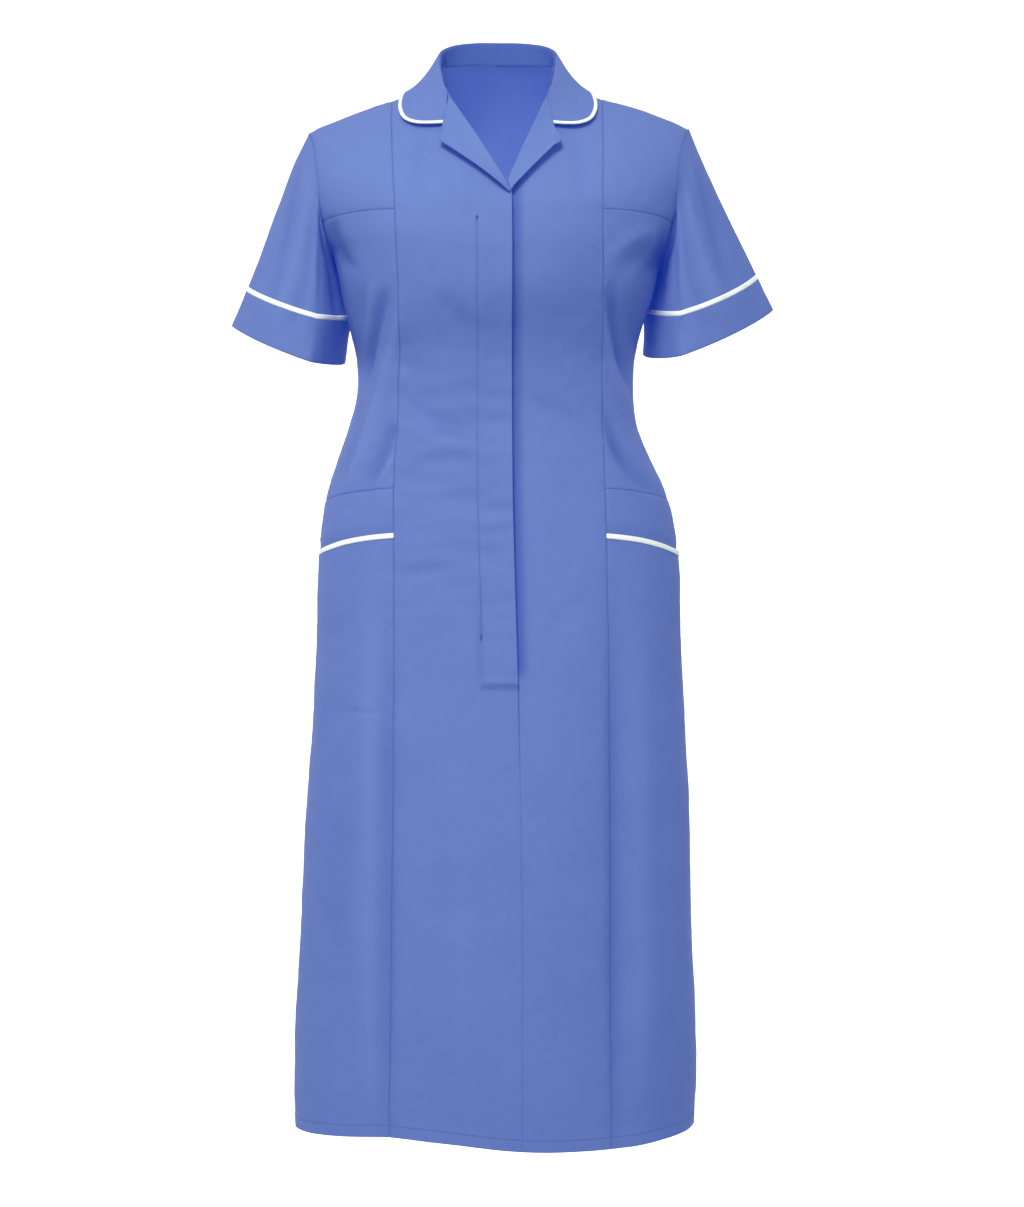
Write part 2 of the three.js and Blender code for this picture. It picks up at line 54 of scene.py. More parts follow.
# Body: roundness of its sections, shoulder seams, the left shoulder's lift, neck, sides and chest
RING_POWER = 2.35
SHOULDER_Y = 8
SHOULDER_GAP = 1
SHOULDER_ROUND = 0.6
LEFT_LIFT = 4.5
LIFT_REACH = (60, 190)
NECK_HALF = 58
SIDE_RADIUS = 130
UNDERARM = -180
CHEST = -185

# Pocket facing: how far it goes on behind the pocket's mouth, and where and how far it dips to do so
FACING_TUCK = 16
TUCK_BEND = 14
TUCK_DEPTH = 1.9

# Hem: height of its stitches, how far they draw the cloth in, and the step above its turned-up layer
HEM_STITCH = 11
HEM_SINK = 0.3
HEM_STEP = 0.25

# Rough width and height of each panel, which set how many points its grid has
PANEL_SIZE = {
    "front_centre_right": (118, 990),
    "front_centre_left": (105, 990),
    "front_shoulder": (80, 120),
    "front_side": (90, 270),
    "pocket_facing": (100, 62),
    "pocket_piping": (100, 13),
    "skirt_side": (105, 580),
    "back": (560, 1030),
}

# Grid step of the pockets' piping, and how much coarser the back's grid is than the other panels'
PIPING_STEP = 4
BACK_STEP = 1.3


def table(names, rows):
    """Columns of numbers by name."""
    values = np.array(rows, float)
    return {name: values[:, i] for i, name in enumerate(names.split())}


def rows_of(columns):
    """The rows of a table, each with its numbers by name."""
    return [dict(zip(columns, values)) for values in zip(*columns.values())]


# Level sections of the body, from under the hem to above the neck
BODY = table("z half shift front back", [
    [-1060, 198, -3, 141, 146],
    [-1042, 198.5, -3.5, 141, 146],
    [-987, 200.5, -2.5, 140, 145],
    [-923, 199, -2, 138, 144],
    [-827, 194.5, -1.5, 133, 141],
    [-715, 190, 0, 126, 138],
    [-620, 185, 1, 119, 135],
    [-555, 182, 1, 114, 132],
    [-491, 180.5, 0.5, 109, 128],
    [-443, 175.5, -0.5, 105, 120],
    [-411, 168, -2, 102, 112],
    [-379, 155.5, -4.5, 100, 102],
    [-347, 144, -5, 99, 93],
    [-315, 138, -3, 101, 88],
    [-283, 138.5, -2.5, 108, 90],
    [-251, 145.5, -2.5, 119, 95],
    [-220, 154.5, -0.5, 127, 101],
    [-180, 164, 0, 131, 106],
    [-165, 172, 0, 130, 107],
    [-150, 179, 0, 127, 108],
    [-135, 185, 0, 124, 109],
    [-105, 192, 0, 115, 108],
    [-75, 197, 0, 107, 106],
    [-52, 200, 0, 103, 104],
    [0, 203, 0, 100, 101],
    [60, 205, 0, 98, 98],
])

# The shoulder's top line by distance from the middle, and how far down its rounding reaches
SHOULDER = table("x frontZ backZ front back", [
    [0, 42, 46, 165, 120],
    [18, 33, 42.5, 163, 118],
    [36, 19, 35, 158, 114],
    [50, 7, 27, 153, 110],
    [54, 4, 21, 151, 109],
    [58, 0, 0, 150, 108],
    [98, -17, -17, 125, 98],
    [127, -27, -27, 108, 90],
    [170, -43, -43, 88, 80],
    [190, -52, -52, 80, 76],
    [225, -72, -72, 76, 74],
])

ARMHOLE = table("z x", [
    [UNDERARM, 164],
    [-172, 166.5],
    [-160, 170],
    [-135, 175],
    [-105, 177.5],
    [-75, 181.5],
    [-52, 189],
    [-40, 196],
])

# Seams down the front, and the fly's free edge
FRONT_SEAMS = table("z right left edge", [
    [-1060, -104, 110, 24.5],
    [-806, -102.5, 110, 24],
    [-616, -101, 109, 20],
    [-458, -100.5, 105.5, 15.5],
    [-411, -99.5, 103.5, 14.5],
    [-327, -97, 102, 14],
    [-260, -95.5, 103.5, 14],
    [-146, -99, 102, 14],
    [-40, -105, 104, 11],
    [40, -105, 104, 10],
])

# Seams across the side panels, by distance from the middle
CROSS_SEAMS = table("x bust facing mouth", [
    [90, -144, -411, -457],
    [125, -144, -413, -460],
    [150, -145.5, -416, -464],
    [170, -148, -420, -470],
    [190, -152, -424, -479],
])

HEM = table("x z", [
    [-215, -1042],
    [-150, -1036],
    [-104, -1033],
    [-50, -1037],
    [30, -1045],
    [110, -1045],
    [160, -1042],
    [215, -1037],
])
BACK_HEM = -1042

NECK_RIGHT = table("x z", [[-58, 0], [-51, -14], [-46, -27], [14, -128]])
NECK_LEFT = table("x z", [[-24, -142], [2, -132], [8, -120], [48, -27], [53, -14], [58, 0]])
BACK_NECK = table("x z", [[0, 24.5], [16, 24.3], [32, 23], [44, 21], [52, 19], [56, 15], [58, 0]])

# Largest folds: bearing from the front and half width in degrees, height, half length, depth, lean
FOLDS = table("bearing z length width depth lean", [
    [-66, -360, 95, 9, 3, 8],
    [-48, -400, 80, 7, 2.2, 9],
    [64, -372, 100, 9, 3, -8],
    [46, -385, 80, 7, 2, -6],
    [-58, -215, 70, 8, 2.4, 14],
    [58, -222, 75, 8, 2.6, -13],
    [-74, -760, 290, 8, 3, 3],
    [-26, -830, 260, 10, 2.2, -2],
    [30, -800, 280, 10, 2.6, 3],
    [72, -790, 270, 8, 3, -3],
    [118, -780, 280, 10, 4, 3],
    [156, -820, 260, 9, 4, -2],
    [-150, -800, 270, 10, 4, 2],
    [-116, -790, 280, 9, 4, -3],
    [150, -330, 70, 10, 3, 6],
    [-148, -325, 70, 10, 3, -6],
])

# Creases, with troughs below zero: both ends, half width, depth, bow, and front -1 or back 1
CREASES = table("x0 z0 x1 z1 width depth bow side", [
    [-91, -326, -25, -352, 7, -1.8, 5, -1],
    [-89, -352, -31, -366, 8, 1.2, 4, -1],
    [-86, -395, -25, -380, 7, -0.9, -6, -1],
    [-94, -496, -55, -482, 8, -0.9, 3, -1],
    [-92, -262, -62, -330, 10, -1.2, 5, -1],
    [-60, -356, -30, -364, 5, -1.2, 2, -1],
    [-93, -343, -78, -345, 4, -1.2, 1, -1],
    [-55, -224, -22, -260, 9, -1.5, 4, -1],
    [110, -357, 152, -414, 7, -3.8, 6, -1],
    [31, -328, 89, -357, 9, -1.4, -4, -1],
    [94, -510, 41, -568, 10, -0.7, 4, -1],
    [-121, -490, -121, -1020, 12, 3.8, 4, -1],
    [-106, -560, -107, -1030, 8, -3.3, 0, -1],
    [-153, -740, -155, -890, 13, -2.2, 4, -1],
    [113, -560, 115, -1030, 8, -3.8, 0, -1],
    [138, -520, 139, -1020, 13, 3.3, -4, -1],
    [-27, -690, -24, -1000, 17, 1.5, 5, -1],
    [62, -700, 58, -960, 18, -1.5, -6, -1],
    [-145, -627, -116, -628, 1.5, -1.8, 0, -1],
    [-163, -152, -142, -198, 6, -4.1, 3, -1],
    [165, -158, 147, -200, 6, -4.1, -3, -1],
    [-68, -62, -78, -128, 9, -1.5, 3, -1],
    [70, -62, 80, -126, 9, -1.5, -3, -1],
    [-100, -330, -30, -352, 8, -3.2, 6, 1],
    [100, -325, 34, -354, 8, -3.2, 6, 1],
    [-132, -238, -70, -302, 9, -4.5, 5, 1],
    [130, -240, 74, -300, 9, -4.5, -5, 1],
    [-40, -402, 44, -408, 9, -2.2, 7, 1],
    [-58, -70, -92, -160, 11, -2.5, 4, 1],
    [60, -68, 94, -158, 11, -2.5, -4, 1],
    [-70, -480, -79, -1030, 14, 3.6, 4, 1],
    [66, -500, 77, -1030, 14, 3.6, -4, 1],
    [0, -540, 5, -1030, 16, -3.3, 3, 1],
    [-132, -560, -141, -1030, 12, -3.2, -3, 1],
    [129, -560, 140, -1030, 12, -3.2, 3, 1],
    [-95, -262, 95, -266, 38, -3, 0, -1],
    [-110, -226, -130, -304, 6, -5.5, 2, -1],
    [-133, -222, -134, -300, 12, -3.6, 0, -1],
    [-121, -214, -131, -276, 4, 2.8, 0, -1],
    [-96, -246, -147, -406, 5, 3.2, -5, -1],
    [-102, -345, -128, -412, 6, -3.8, -3, -1],
    [-102, -380, -117, -407, 3.5, 2, -1, -1],
    [-137, -318, -152, -398, 7, -2.2, -3, -1],
    [111, -220, 127, -308, 6, -5, 2, -1],
    [106, -250, 135, -350, 4.5, 2.8, 3, -1],
    [128, -230, 137, -300, 8, -1.8, -2, -1],
    [104, -330, 128, -392, 6, -2.6, 3, -1],
    [108, -190, 160, -158, 7, 2, -4, -1],
    [116, -206, 158, -176, 7, -1.3, -4, -1],
])

# Sleeve sections below the armhole: outer and inner point, half depth, how much lower the front hangs,
# how far the tube is pressed flat, and how far its inner fold tucks in behind the body's side
SLEEVES = {
    "right": table("outX outZ inX inZ depth dip fold tuck", [
        [-204, -84, -163.5, -191, 53, 2, 0.6, 3],
        [-220, -127, -160.5, -203, 57, 5, 0.9, 4.5],
        [-236, -170, -156.5, -219, 60, 9, 1, 4.5],
        [-251, -209, -152.5, -233, 61, 15, 1, 4],
        [-258, -227, -153.5, -257, 61, 15, 1, 1],
        [-266, -246, -155.5, -280, 61, 15, 1, 0],
    ]),
    "left": table("outX outZ inX inZ depth dip fold tuck", [
        [204, -81, 163.5, -191, 53, 2, 0.6, 3],
        [222, -119, 160.2, -201, 57, 6, 0.9, 4.5],
        [241, -159, 155.8, -211, 60, 15, 1, 4.5],
        [259, -197, 151.5, -224, 61, 22, 1, 4],
        [267, -214, 149, -248, 61, 21, 1, 1],
        [275, -230, 147, -271, 61, 20, 1, 0],
    ]),
}

# Sleeve form: the section where the cuff starts, roundness and skew of the sections, the armhole's seam
CUFF_SEAM = 4
ROUND_POWER = 2.2
OUTER_POWER = 1.9
INNER_POWER = 1.25
SLEEVE_SKEW = 0.24
TIP_BACK = 36
SHOULDER_TIP = -52
ARMHOLE_GAP = 0.1
ARMHOLE_HOLD = 14

# Half of the collar, from the middle of the back to its front end: neck seam, roll, and the fall's edge
COLLAR = table("place neckX neckZ rollX rollY rollZ edgeX edgeY edgeZ", [
    [0, 0, 24.5, 0, 55, 48.2, 0, 90, -6],
    [1, 16, 24, 16, 53.5, 47.8, 25, 86.5, -6.2],
    [2, 31, 23, 32, 48.5, 46, 49, 71, -9],
    [3, 43, 21.2, 46, 38.5, 42, 69, 50, -12.3],
    [4, 51.5, 19, 55, 24.5, 35.5, 84, 29, -11.8],
    [5, 56.5, 11, 58.7, 11, 28.5, 92, 9.5, -10.8],
    [6, 58, -0.5, 59, -2, 21, 96.5, -10, -16.3],
    [7, 56.5, -4, 58.5, -13, 13.5, 98.5, -28, -27.3],
    [8, 54.8, -8.5, 57.2, -25, 5, 97.5, -43, -38],
    [9, 53, -13, 55.2, -35, -4.5, 92.5, -57, -48.2],
    [10, 51.6, -18, 53.2, -43, -11.5, 81.5, -67.2, -54.2],
    [11, 50.3, -22.5, 51.5, -48, -15.8, 66, -72.2, -55.8],
    [12, 49.3, -26.5, 49.8, -52.5, -19.5, 50.6, -76, -55.6],
])
COLLAR_FRONT = 5.5
COLLAR_REACH = 98.5

# Each rever: along the roll line, along its outer edge, and how far the outer edge stands off
REVERS = {
    "right": table("rollX rollZ outX outZ lift", [
        [-46.5, -26, -49, -53, 3],
        [-37, -42, -51.5, -66.5, 4.5],
        [-27.5, -58, -54, -80, 5.5],
        [-14, -81, -33, -95.5, 4.6],
        [0, -104.5, -12, -111, 3.8],
        [9, -120, 4, -123.5, 3.4],
        [14, -128.5, 11.5, -130, 3],
    ]),
    "left": table("rollX rollZ outX outZ lift", [
        [47, -26, 48.8, -53, 3],
        [41, -42, 53, -66.5, 4.5],
        [34.5, -58, 58, -80, 5.5],
        [27, -76, 43, -95, 4.4],
        [18.5, -96.5, 29, -110.5, 3],
        [10.8, -115, 16, -124.5, 2],
        [9.3, -118.6, 13.2, -128.8, 0.8],
    ]),
}


def smooth(start, end, value):
    """0 before start and 1 after end, with a soft rise between."""
    t = np.clip((value - start) / (end - start), 0, 1)
    return t * t * (3 - 2 * t)


def bell(offset, width):
    return np.exp(-((offset / width) ** 2))


def half_turn(degrees):
    """The same bearing between -180 and 180 degrees."""
    return (degrees + 540) % 360 - 180


def column(tab, along, name, at):
    """Smooth value of one table column at a place along another."""
    xs, ys = tab[along], tab[name]
    last = len(xs) - 1
    steps = np.arange(last + 1)
    before = np.maximum(steps - 1, 0)
    after = np.minimum(steps + 1, last)
    slope = (ys[after] - ys[before]) / (xs[after] - xs[before])
    place = np.clip(at, xs[0], xs[-1])
    i = np.clip(np.searchsorted(xs, place) - 1, 0, last - 1)
    span = xs[i + 1] - xs[i]
    t = (place - xs[i]) / span
    rise = t * t * (3 - 2 * t)
    bend = slope[i] * t * (1 - t) ** 2 - slope[i + 1] * t * t * (1 - t)
    return ys[i] + (ys[i + 1] - ys[i]) * rise + span * bend


def angle_at(x, z, behind=False):
    """Angle round the body, from the front, at which a level section reaches a distance across."""
    half = column(BODY, "z", "half", z)
    depth = column(BODY, "z", "back" if behind else "front", z)
    across = np.clip((x - column(BODY, "z", "shift", z)) / half, -1, 1)
    along = depth * (1 - np.abs(across) ** RING_POWER) ** (1 / RING_POWER)
    return np.arctan2(across * half, -along if behind else along)


def fold_depth(angle, z):
    bearing = np.degrees(angle)
    total = np.zeros_like(bearing)
    for fold in rows_of(FOLDS):
        up = (z - fold["z"]) / fold["length"]
        turn = half_turn(bearing - fold["bearing"] - fold["lean"] * up)
        total += fold["depth"] * np.exp(-2 * up * up) * bell(turn, fold["width"])
    return total


def body_point(angle, z):
    """Points of the body's outer surface."""
    angle, z = np.broadcast_arrays(np.asarray(angle, float), np.asarray(z, float))
    across, along = np.sin(angle), np.cos(angle)
    behind = along < 0
    half = column(BODY, "z", "half", z)
    depth = np.where(behind, column(BODY, "z", "back", z), column(BODY, "z", "front", z))
    power = (np.abs(across) / half) ** RING_POWER + (np.abs(along) / depth) ** RING_POWER
    radius = power ** (-1 / RING_POWER) + fold_depth(angle, z)
    x = column(BODY, "z", "shift", z) + radius * across
    out = np.abs(x)
    reach = np.where(behind, column(SHOULDER, "x", "back", out), column(SHOULDER, "x", "front", out))
    crest = np.where(behind, column(SHOULDER, "x", "backZ", out), column(SHOULDER, "x", "frontZ", out))
    below = np.clip((crest + shoulder_lift(x) - z) / reach, 0, 1)
    seam = SHOULDER_Y + np.where(behind, SHOULDER_GAP, -SHOULDER_GAP) / 2
    share = np.sin(below * np.pi / 2) ** SHOULDER_ROUND
    return np.stack([x, seam + (-radius * along - seam) * share, z], -1)


def on_body(x, z, behind=False):
    return body_point(angle_at(x, z, behind), z)


def front_seam(name, shift=0):
    return lambda z: angle_at(column(FRONT_SEAMS, "z", name, z) + shift, z)


def cross_seam(name, shift=0):
    return lambda x: column(CROSS_SEAMS, "x", name, np.abs(x)) + shift


def fly_edge(z):
    return column(FRONT_SEAMS, "z", "edge", z)


def hem_line(x):
    return column(HEM, "x", "z", x)


def shoulder_lift(x):
    """The left shoulder sits a little higher than the right."""
    return LEFT_LIFT * smooth(*LIFT_REACH, x)


def shoulder_line(x):
    return column(SHOULDER, "x", "frontZ", np.abs(x)) + shoulder_lift(x)


def right_neck(x):
    return np.where(x < -NECK_HALF, shoulder_line(x), np.interp(x, NECK_RIGHT["x"], NECK_RIGHT["z"]))


def left_neck(x):
    return np.where(x > NECK_HALF, shoulder_line(x), np.interp(x, NECK_LEFT["x"], NECK_LEFT["z"]))


def back_neck(x):
    out = np.abs(x)
    return np.where(out > NECK_HALF, shoulder_line(x), np.interp(out, BACK_NECK["x"], BACK_NECK["z"]))


def side_angle(side, behind, gap):
    """The side seam, or the armhole's edge above the underarm."""
    sign = 1 if behind else -1
    seam = np.pi / 2 + sign * gap / 2 / SIDE_RADIUS

    def at(z):
        edge = angle_at(column(ARMHOLE, "z", "x", z), z, behind)
        edge = np.maximum(edge, seam) if behind else np.minimum(edge, seam)
        return side * np.where(z <= UNDERARM, seam, edge)

    return at


def waves(seed, scale, count=28):
    """Smooth seeded noise over space, about -1 to 1, as a sum of plane waves."""
    rng = np.random.default_rng(seed)
    turn = rng.normal(size=(count, 3))
    turn /= np.linalg.norm(turn, axis=1)[:, None]
    turn *= (2 * np.pi / scale * rng.uniform(0.6, 1.5, count))[:, None]
    phase = rng.uniform(0, 2 * np.pi, count)
    return lambda points: np.cos(points @ turn.T + phase).sum(-1) / math.sqrt(count)


broad_wave = waves(3, 70)
small_wave = waves(5, 22)
seam_wave = waves(7, 9)
slow_wave = waves(11, 160)

# Unevenness of worn cloth: height of the broad and the small waves, and of the body's slow ones
BODY_WAVES = (0.4, 0.15)
SLOW_WAVES = 0.6
SLEEVE_WAVES = (0.3, 0.1)
COLLAR_WAVES = (0.22, 0.08)
REVER_WAVES = (0.3, 0.08)

# Level puckers across the right front's waist: height, stretch, and where they fade in y, z and x
PUCKER_HEIGHT = 0.6
PUCKER_STRETCH = np.array([0.3, 0.3, 1])
PUCKER_FRONT = (0, -40)
PUCKER_FROM = (-600, -480)
PUCKER_UPTO = (-230, -330)
PUCKER_RIGHT = (-118, -90)
PUCKER_LEFT = (24, 10)

# Creases: how their ends fade, as shares of their length, and how they fade towards the other side
CREASE_START = (-0.2, 0.3)
CREASE_END = (1.2, 0.7)
SLEEVE_CREASE_START = (-0.15, 0.35)
SLEEVE_CREASE_END = (1.15, 0.65)
CREASE_SIDE = (8, 30)

# Painted shade in the troughs of creases and painted highlight on their ridges, where wide creases count
# for less than narrow ones and limits keep it slight; painted shade along seams and on the rims of
# seamed pieces
NARROW_CREASE = 6
CREASE_SHADE = 0.055
CREASE_LIMITS = (-0.1, 0.34)
SLEEVE_LIMITS = (-0.08, 0.2)
SEAM_SHADE = 0.16
SEAM_SHADE_WIDTH = 0.8
RIM_SHADE = 0.6

# Painted shadow below the collar: the collar's rows in front, depth of the shadow, its reach across and
# downwards
COLLAR_FRONT_ROWS = slice(None, 6, -1)
COLLAR_SHADE = 0.22
COLLAR_SHADE_INNER = (46, 52)
COLLAR_SHADE_OUTER = (99, 94)
COLLAR_SHADE_ABOVE = (-8, -2)
COLLAR_SHADE_BELOW = (9, 1)


def worn_relief(points, broad, small):
    """The slight unevenness of worn cloth."""
    return broad * broad_wave(points) + small * small_wave(points)


def crease_depth(points, even=True):
    """Depth of the listed creases at points of the body; uneven, the narrow ones count for more."""
    x, y, z = np.moveaxis(points, -1, 0)
    total = np.zeros_like(x)
    for crease in rows_of(CREASES):
        run, rise = crease["x1"] - crease["x0"], crease["z1"] - crease["z0"]
        length = math.hypot(run, rise)
        from_x, from_z = x - crease["x0"], z - crease["z0"]
        along = (from_x * run + from_z * rise) / length**2
        off = (from_x * rise - from_z * run) / length
        off = off - crease["bow"] * (1 - (2 * along - 1) ** 2)
        ends = smooth(*CREASE_START, along) * smooth(*CREASE_END, along)
        weight = 1 if even else min(1, NARROW_CREASE / crease["width"])
        depth = weight * crease["depth"] * ends * bell(off, crease["width"])
        total += depth * smooth(*CREASE_SIDE, crease["side"] * y)
    return total


def painted_collar_shadow(points):
    """Painted shadow on the cloth just below the collar."""
    x = np.abs(points[..., 0])
    edge_x, edge_z = COLLAR["edgeX"][COLLAR_FRONT_ROWS], COLLAR["edgeZ"][COLLAR_FRONT_ROWS]
    drop = np.interp(x, edge_x, edge_z) - points[..., 2]
    across = smooth(*COLLAR_SHADE_INNER, x) * smooth(*COLLAR_SHADE_OUTER, x)
    down = smooth(*COLLAR_SHADE_ABOVE, drop) * smooth(*COLLAR_SHADE_BELOW, drop)
    return COLLAR_SHADE * across * down


def painted_crease_shade(points):
    """Painted shade in the troughs of creases and painted highlight on their ridges."""
    return np.clip(-CREASE_SHADE * crease_depth(points, False), *CREASE_LIMITS)


# Grids of points: steps in from an edge, and how a grid settles between its height lines
EDGE_STEPS = np.array([0, 0.6, 1.3, 2.2, 3.4, 5.2])
SETTLE_ROUNDS = 24
SETTLE_SHARE = 0.7

# Seams: width and unevenness of the groove, the hollow beside it, and the puckers' height, place, width
GROOVE_WIDTH = 1.2
GROOVE_UNEVEN = 0.25
HOLLOW_DEPTH = 0.5
HOLLOW_WIDTH = 8
SEAM_PUCKER = 0.16
SEAM_PUCKER_PLACE = 3
SEAM_PUCKER_WIDTH = 7

# Directions
FORWARD = np.array([0, -1.0, 0])
UP = np.array([0, 0, 1])
LEVEL = np.array([1, 1, 0])

# Edges of a wall: how far they round out, as a share of its thickness, and the angle that stays sharp
EDGE_BULGE = 0.3
SHARP_ANGLE = math.radians(62)
TINY = 1e-9


def spread(length, step):
    """Shares of a length, closer together near both ends."""
    last = EDGE_STEPS[-1]
    count = max(3, round((length - 2 * last) / step) + 1)
    middle = np.linspace(last, length - last, count)
    return np.concatenate([EDGE_STEPS[:-1], middle, length - EDGE_STEPS[-2::-1]]) / length


def panel_grid(start, end, bottom, top, size, step, level=None):
    """Points of the body between two seam angles and two height lines, in level rows below a level."""
    s, t = np.meshgrid(spread(size[0], step), spread(size[1], step))
    share = 0 if level is None else (level - bottom(0)) / size[1]

    def height(x):
        low, high = bottom(x), top(x)
        if level is None:
            return low + (high - low) * t
        lower = low + (level - low) * t / share
        return np.where(t < share, lower, level + (high - level) * (t - share) / (1 - share))

    z = height(np.zeros_like(s))
    for _ in range(SETTLE_ROUNDS):
        angle = start(z) + (end(z) - start(z)) * s
        z = z + SETTLE_SHARE * (height(body_point(angle, z)[..., 0]) - z)
    return body_point(start(z) + (end(z) - start(z)) * s, z)


def grid_normals(points, closed=False):
    if closed:
        across = np.roll(points, -1, 1) - np.roll(points, 1, 1)
    else:
        across = np.gradient(points, axis=1)
    normal = np.cross(across, np.gradient(points, axis=0))
    return normal / np.maximum(np.linalg.norm(normal, axis=-1), TINY)[..., None]


def edge_distances(points):
    """Distance of each point of a grid from its left, right, lower and upper edge, along the cloth."""
    over = np.linalg.norm(np.diff(points, axis=1), axis=-1)
    up = np.linalg.norm(np.diff(points, axis=0), axis=-1)
    left = np.pad(np.cumsum(over, 1), ((0, 0), (1, 0)))
    low = np.pad(np.cumsum(up, 0), ((1, 0), (0, 0)))
    return {"left": left, "right": left[:, -1:] - left, "low": low, "high": low[-1:] - low}


def seam_relief(points, edges, sides, groove):
    """Cloth drawn in along its seams, with small uneven puckers beside them."""
    total = np.zeros(points.shape[:2])
    pucker = seam_wave(points)
    for side in sides:
        away = edges[side]
        total -= groove * bell(away, GROOVE_WIDTH) * (1 + GROOVE_UNEVEN * pucker)
        total -= HOLLOW_DEPTH * groove * bell(away, HOLLOW_WIDTH)
        total += SEAM_PUCKER * pucker * bell(away - SEAM_PUCKER_PLACE, SEAM_PUCKER_WIDTH)
    return total


def cloth_relief(points, held=1):
    """Creases, puckers and unevenness of the body's cloth, less where it is held."""
    x, y, z = np.moveaxis(points, -1, 0)
    ripple = worn_relief(points, *BODY_WAVES) + SLOW_WAVES * slow_wave(points)
    waist = smooth(*PUCKER_FROM, z) * smooth(*PUCKER_UPTO, z)
    across = smooth(*PUCKER_RIGHT, x) * smooth(*PUCKER_LEFT, x)
    puckers = PUCKER_HEIGHT * small_wave(points * PUCKER_STRETCH)
    return held * (crease_depth(points) + ripple + puckers * waist * across * smooth(*PUCKER_FRONT, y))


def pushed(points, depth, closed=False):
    return points + grid_normals(points, closed) * depth[..., None]


# Meshes


def wall_mesh(name, outer, thick, closed=False):
    """A closed thin wall: the outer grid, the inner one, and rounded edges between them."""
    high, wide = outer.shape[:2]
    normals = grid_normals(outer, closed)
    depth = np.broadcast_to(np.asarray(thick, float), (high, wide))
    inner = outer - normals * depth[..., None]
    index = np.arange(high * wide).reshape(high, wide)
    if closed:
        index = np.concatenate([index, index[:, :1]], 1)
    a, b = index[:-1, :-1].ravel(), index[:-1, 1:].ravel()
    c, d = index[1:, 1:].ravel(), index[1:, :-1].ravel()
    count = high * wide
    faces = [np.stack([a, b, c, d], 1), np.stack([a, d, c, b], 1) + count]
    rings = [(index[0], index[1]), (index[-1][::-1], index[-2][::-1])]
    if closed:
        loops = rings
    else:
        right, left = (index[:, -1], index[:, -2]), (index[::-1, 0], index[::-1, 1])
        sides = (rings[0], right, rings[1], left)
        ring = [np.concatenate([side[k][:-1] for side in sides]) for k in (0, 1)]
        loops = [tuple(np.append(line, line[0]) for line in ring)]
    flat_outer, flat_inner, flat_depth = outer.reshape(-1, 3), inner.reshape(-1, 3), depth.ravel()
    points = [flat_outer, flat_inner]
    for edge, beside in loops:
        rim = edge[:-1]
        out = flat_outer[rim] - flat_outer[beside[:-1]]
        out /= np.maximum(np.linalg.norm(out, axis=1), TINY)[:, None]
        middle = (flat_outer[rim] + flat_inner[rim]) / 2 + out * (EDGE_BULGE * flat_depth[rim])[:, None]
        first = sum(len(p) for p in points)
        points.append(middle)
        here = first + np.arange(len(rim))
        after = np.roll(here, -1)
        faces.append(np.stack([edge[1:], rim, here, after], 1))
        faces.append(np.stack([after, here, rim + count, edge[1:] + count], 1))
    mesh = bpy.data.meshes.new(name)
    mesh.from_pydata((np.concatenate(points) * MM).tolist(), [], np.concatenate(faces).tolist())
    mesh.polygons.foreach_set("use_smooth", np.ones(len(mesh.polygons), bool))
    layer = mesh.uv_layers.new(name="cloth")
    edges = edge_distances(outer)
    flat_uv = np.stack([edges["left"].ravel(), edges["low"].ravel()], 1) * MM
    rims = [flat_uv[edge[:-1]] for edge, _ in loops]
    vertex_uv = np.concatenate([flat_uv, flat_uv, *rims])
    corner = np.empty(len(mesh.loops), np.int32)
    mesh.loops.foreach_get("vertex_index", corner)
    layer.data.foreach_set("uv", vertex_uv[corner].ravel().astype(np.float32))
    mesh.set_sharp_from_angle(angle=SHARP_ANGLE)
    return mesh


def dress_piece(name, mesh, material, node=None):
    """Puts a piece in the scene on the fixed frame, in the place of its solid."""
    piece = bpy.data.objects.new(name, mesh)
    bpy.context.scene.collection.objects.link(piece)
    mesh.materials.append(material)
    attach(piece, "root")
    if node:
        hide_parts(node)
    return piece


def cloth_piece(node, mesh, material):
    """A sheet of cloth in the place of a solid."""
    piece = dress_piece(f"cloth_{node}", mesh, material, node)
    return piece


# Materials

# Painted glow: the cloth gives off a faint blue light of its own, standing in for light that comes
# through thin cloth
GLOW_COLOUR = (0.01, 0.1, 1, 1)
CLOTH_GLOW = 0.17

# Each material's name, distance between threads in metres, unevenness of its dye, sheen and painted glow
FABRICS = {
    "cloth": ("dress_cloth", 0.0006, 0.12, 0.04, CLOTH_GLOW),
    "piping": ("white_piping", 0.0005, 0.03, 0.1, 0),
    "thread": ("sewing_thread", 0.0004, 0.05, 0.2, 0),
}
SHEEN_ROUGHNESS = 0.5
SPECULAR = 0.15
BUMP_STRENGTH = 0.35
BUMP_DISTANCE = 0.0006

# Threads: distance between the bands of a wave texture of scale 1, and how uneven they run
BAND_DISTANCE = 2 * math.pi / 20
THREAD_DISTORTION = 0.6
THREAD_DETAIL = 1

# Slubs along the threads, patches of dye and flecks: scale and detail of each noise
SLUB_STRETCH = (1400, 90, 1)
SLUB_NOISE = (1, 2)
PATCH_NOISE = (16, 3)
FLECK_NOISE = (210, 3)

# How strongly the weave, its slubs and its flecks show in the dye, the roughness and the height
EVEN_DYE = 0.94
DYE_MIX = {"slub": 0.05, "fleck": 0.05, "weave": 0.03}
EVEN_ROUGHNESS = 0.68
ROUGHNESS_MIX = {"slub": 0.12, "fleck": 0.1}
HEIGHT_MIX = {"slub": 0.6, "fleck": 1.2}

# How much each colour loses where the painted shade is full
DEEP_TINT = (-1.15, -1, -0.6)


def socket(tree, name, kind, out=False):
    tree.interface.new_socket(name=name, in_out="OUTPUT" if out else "INPUT", socket_type=kind)


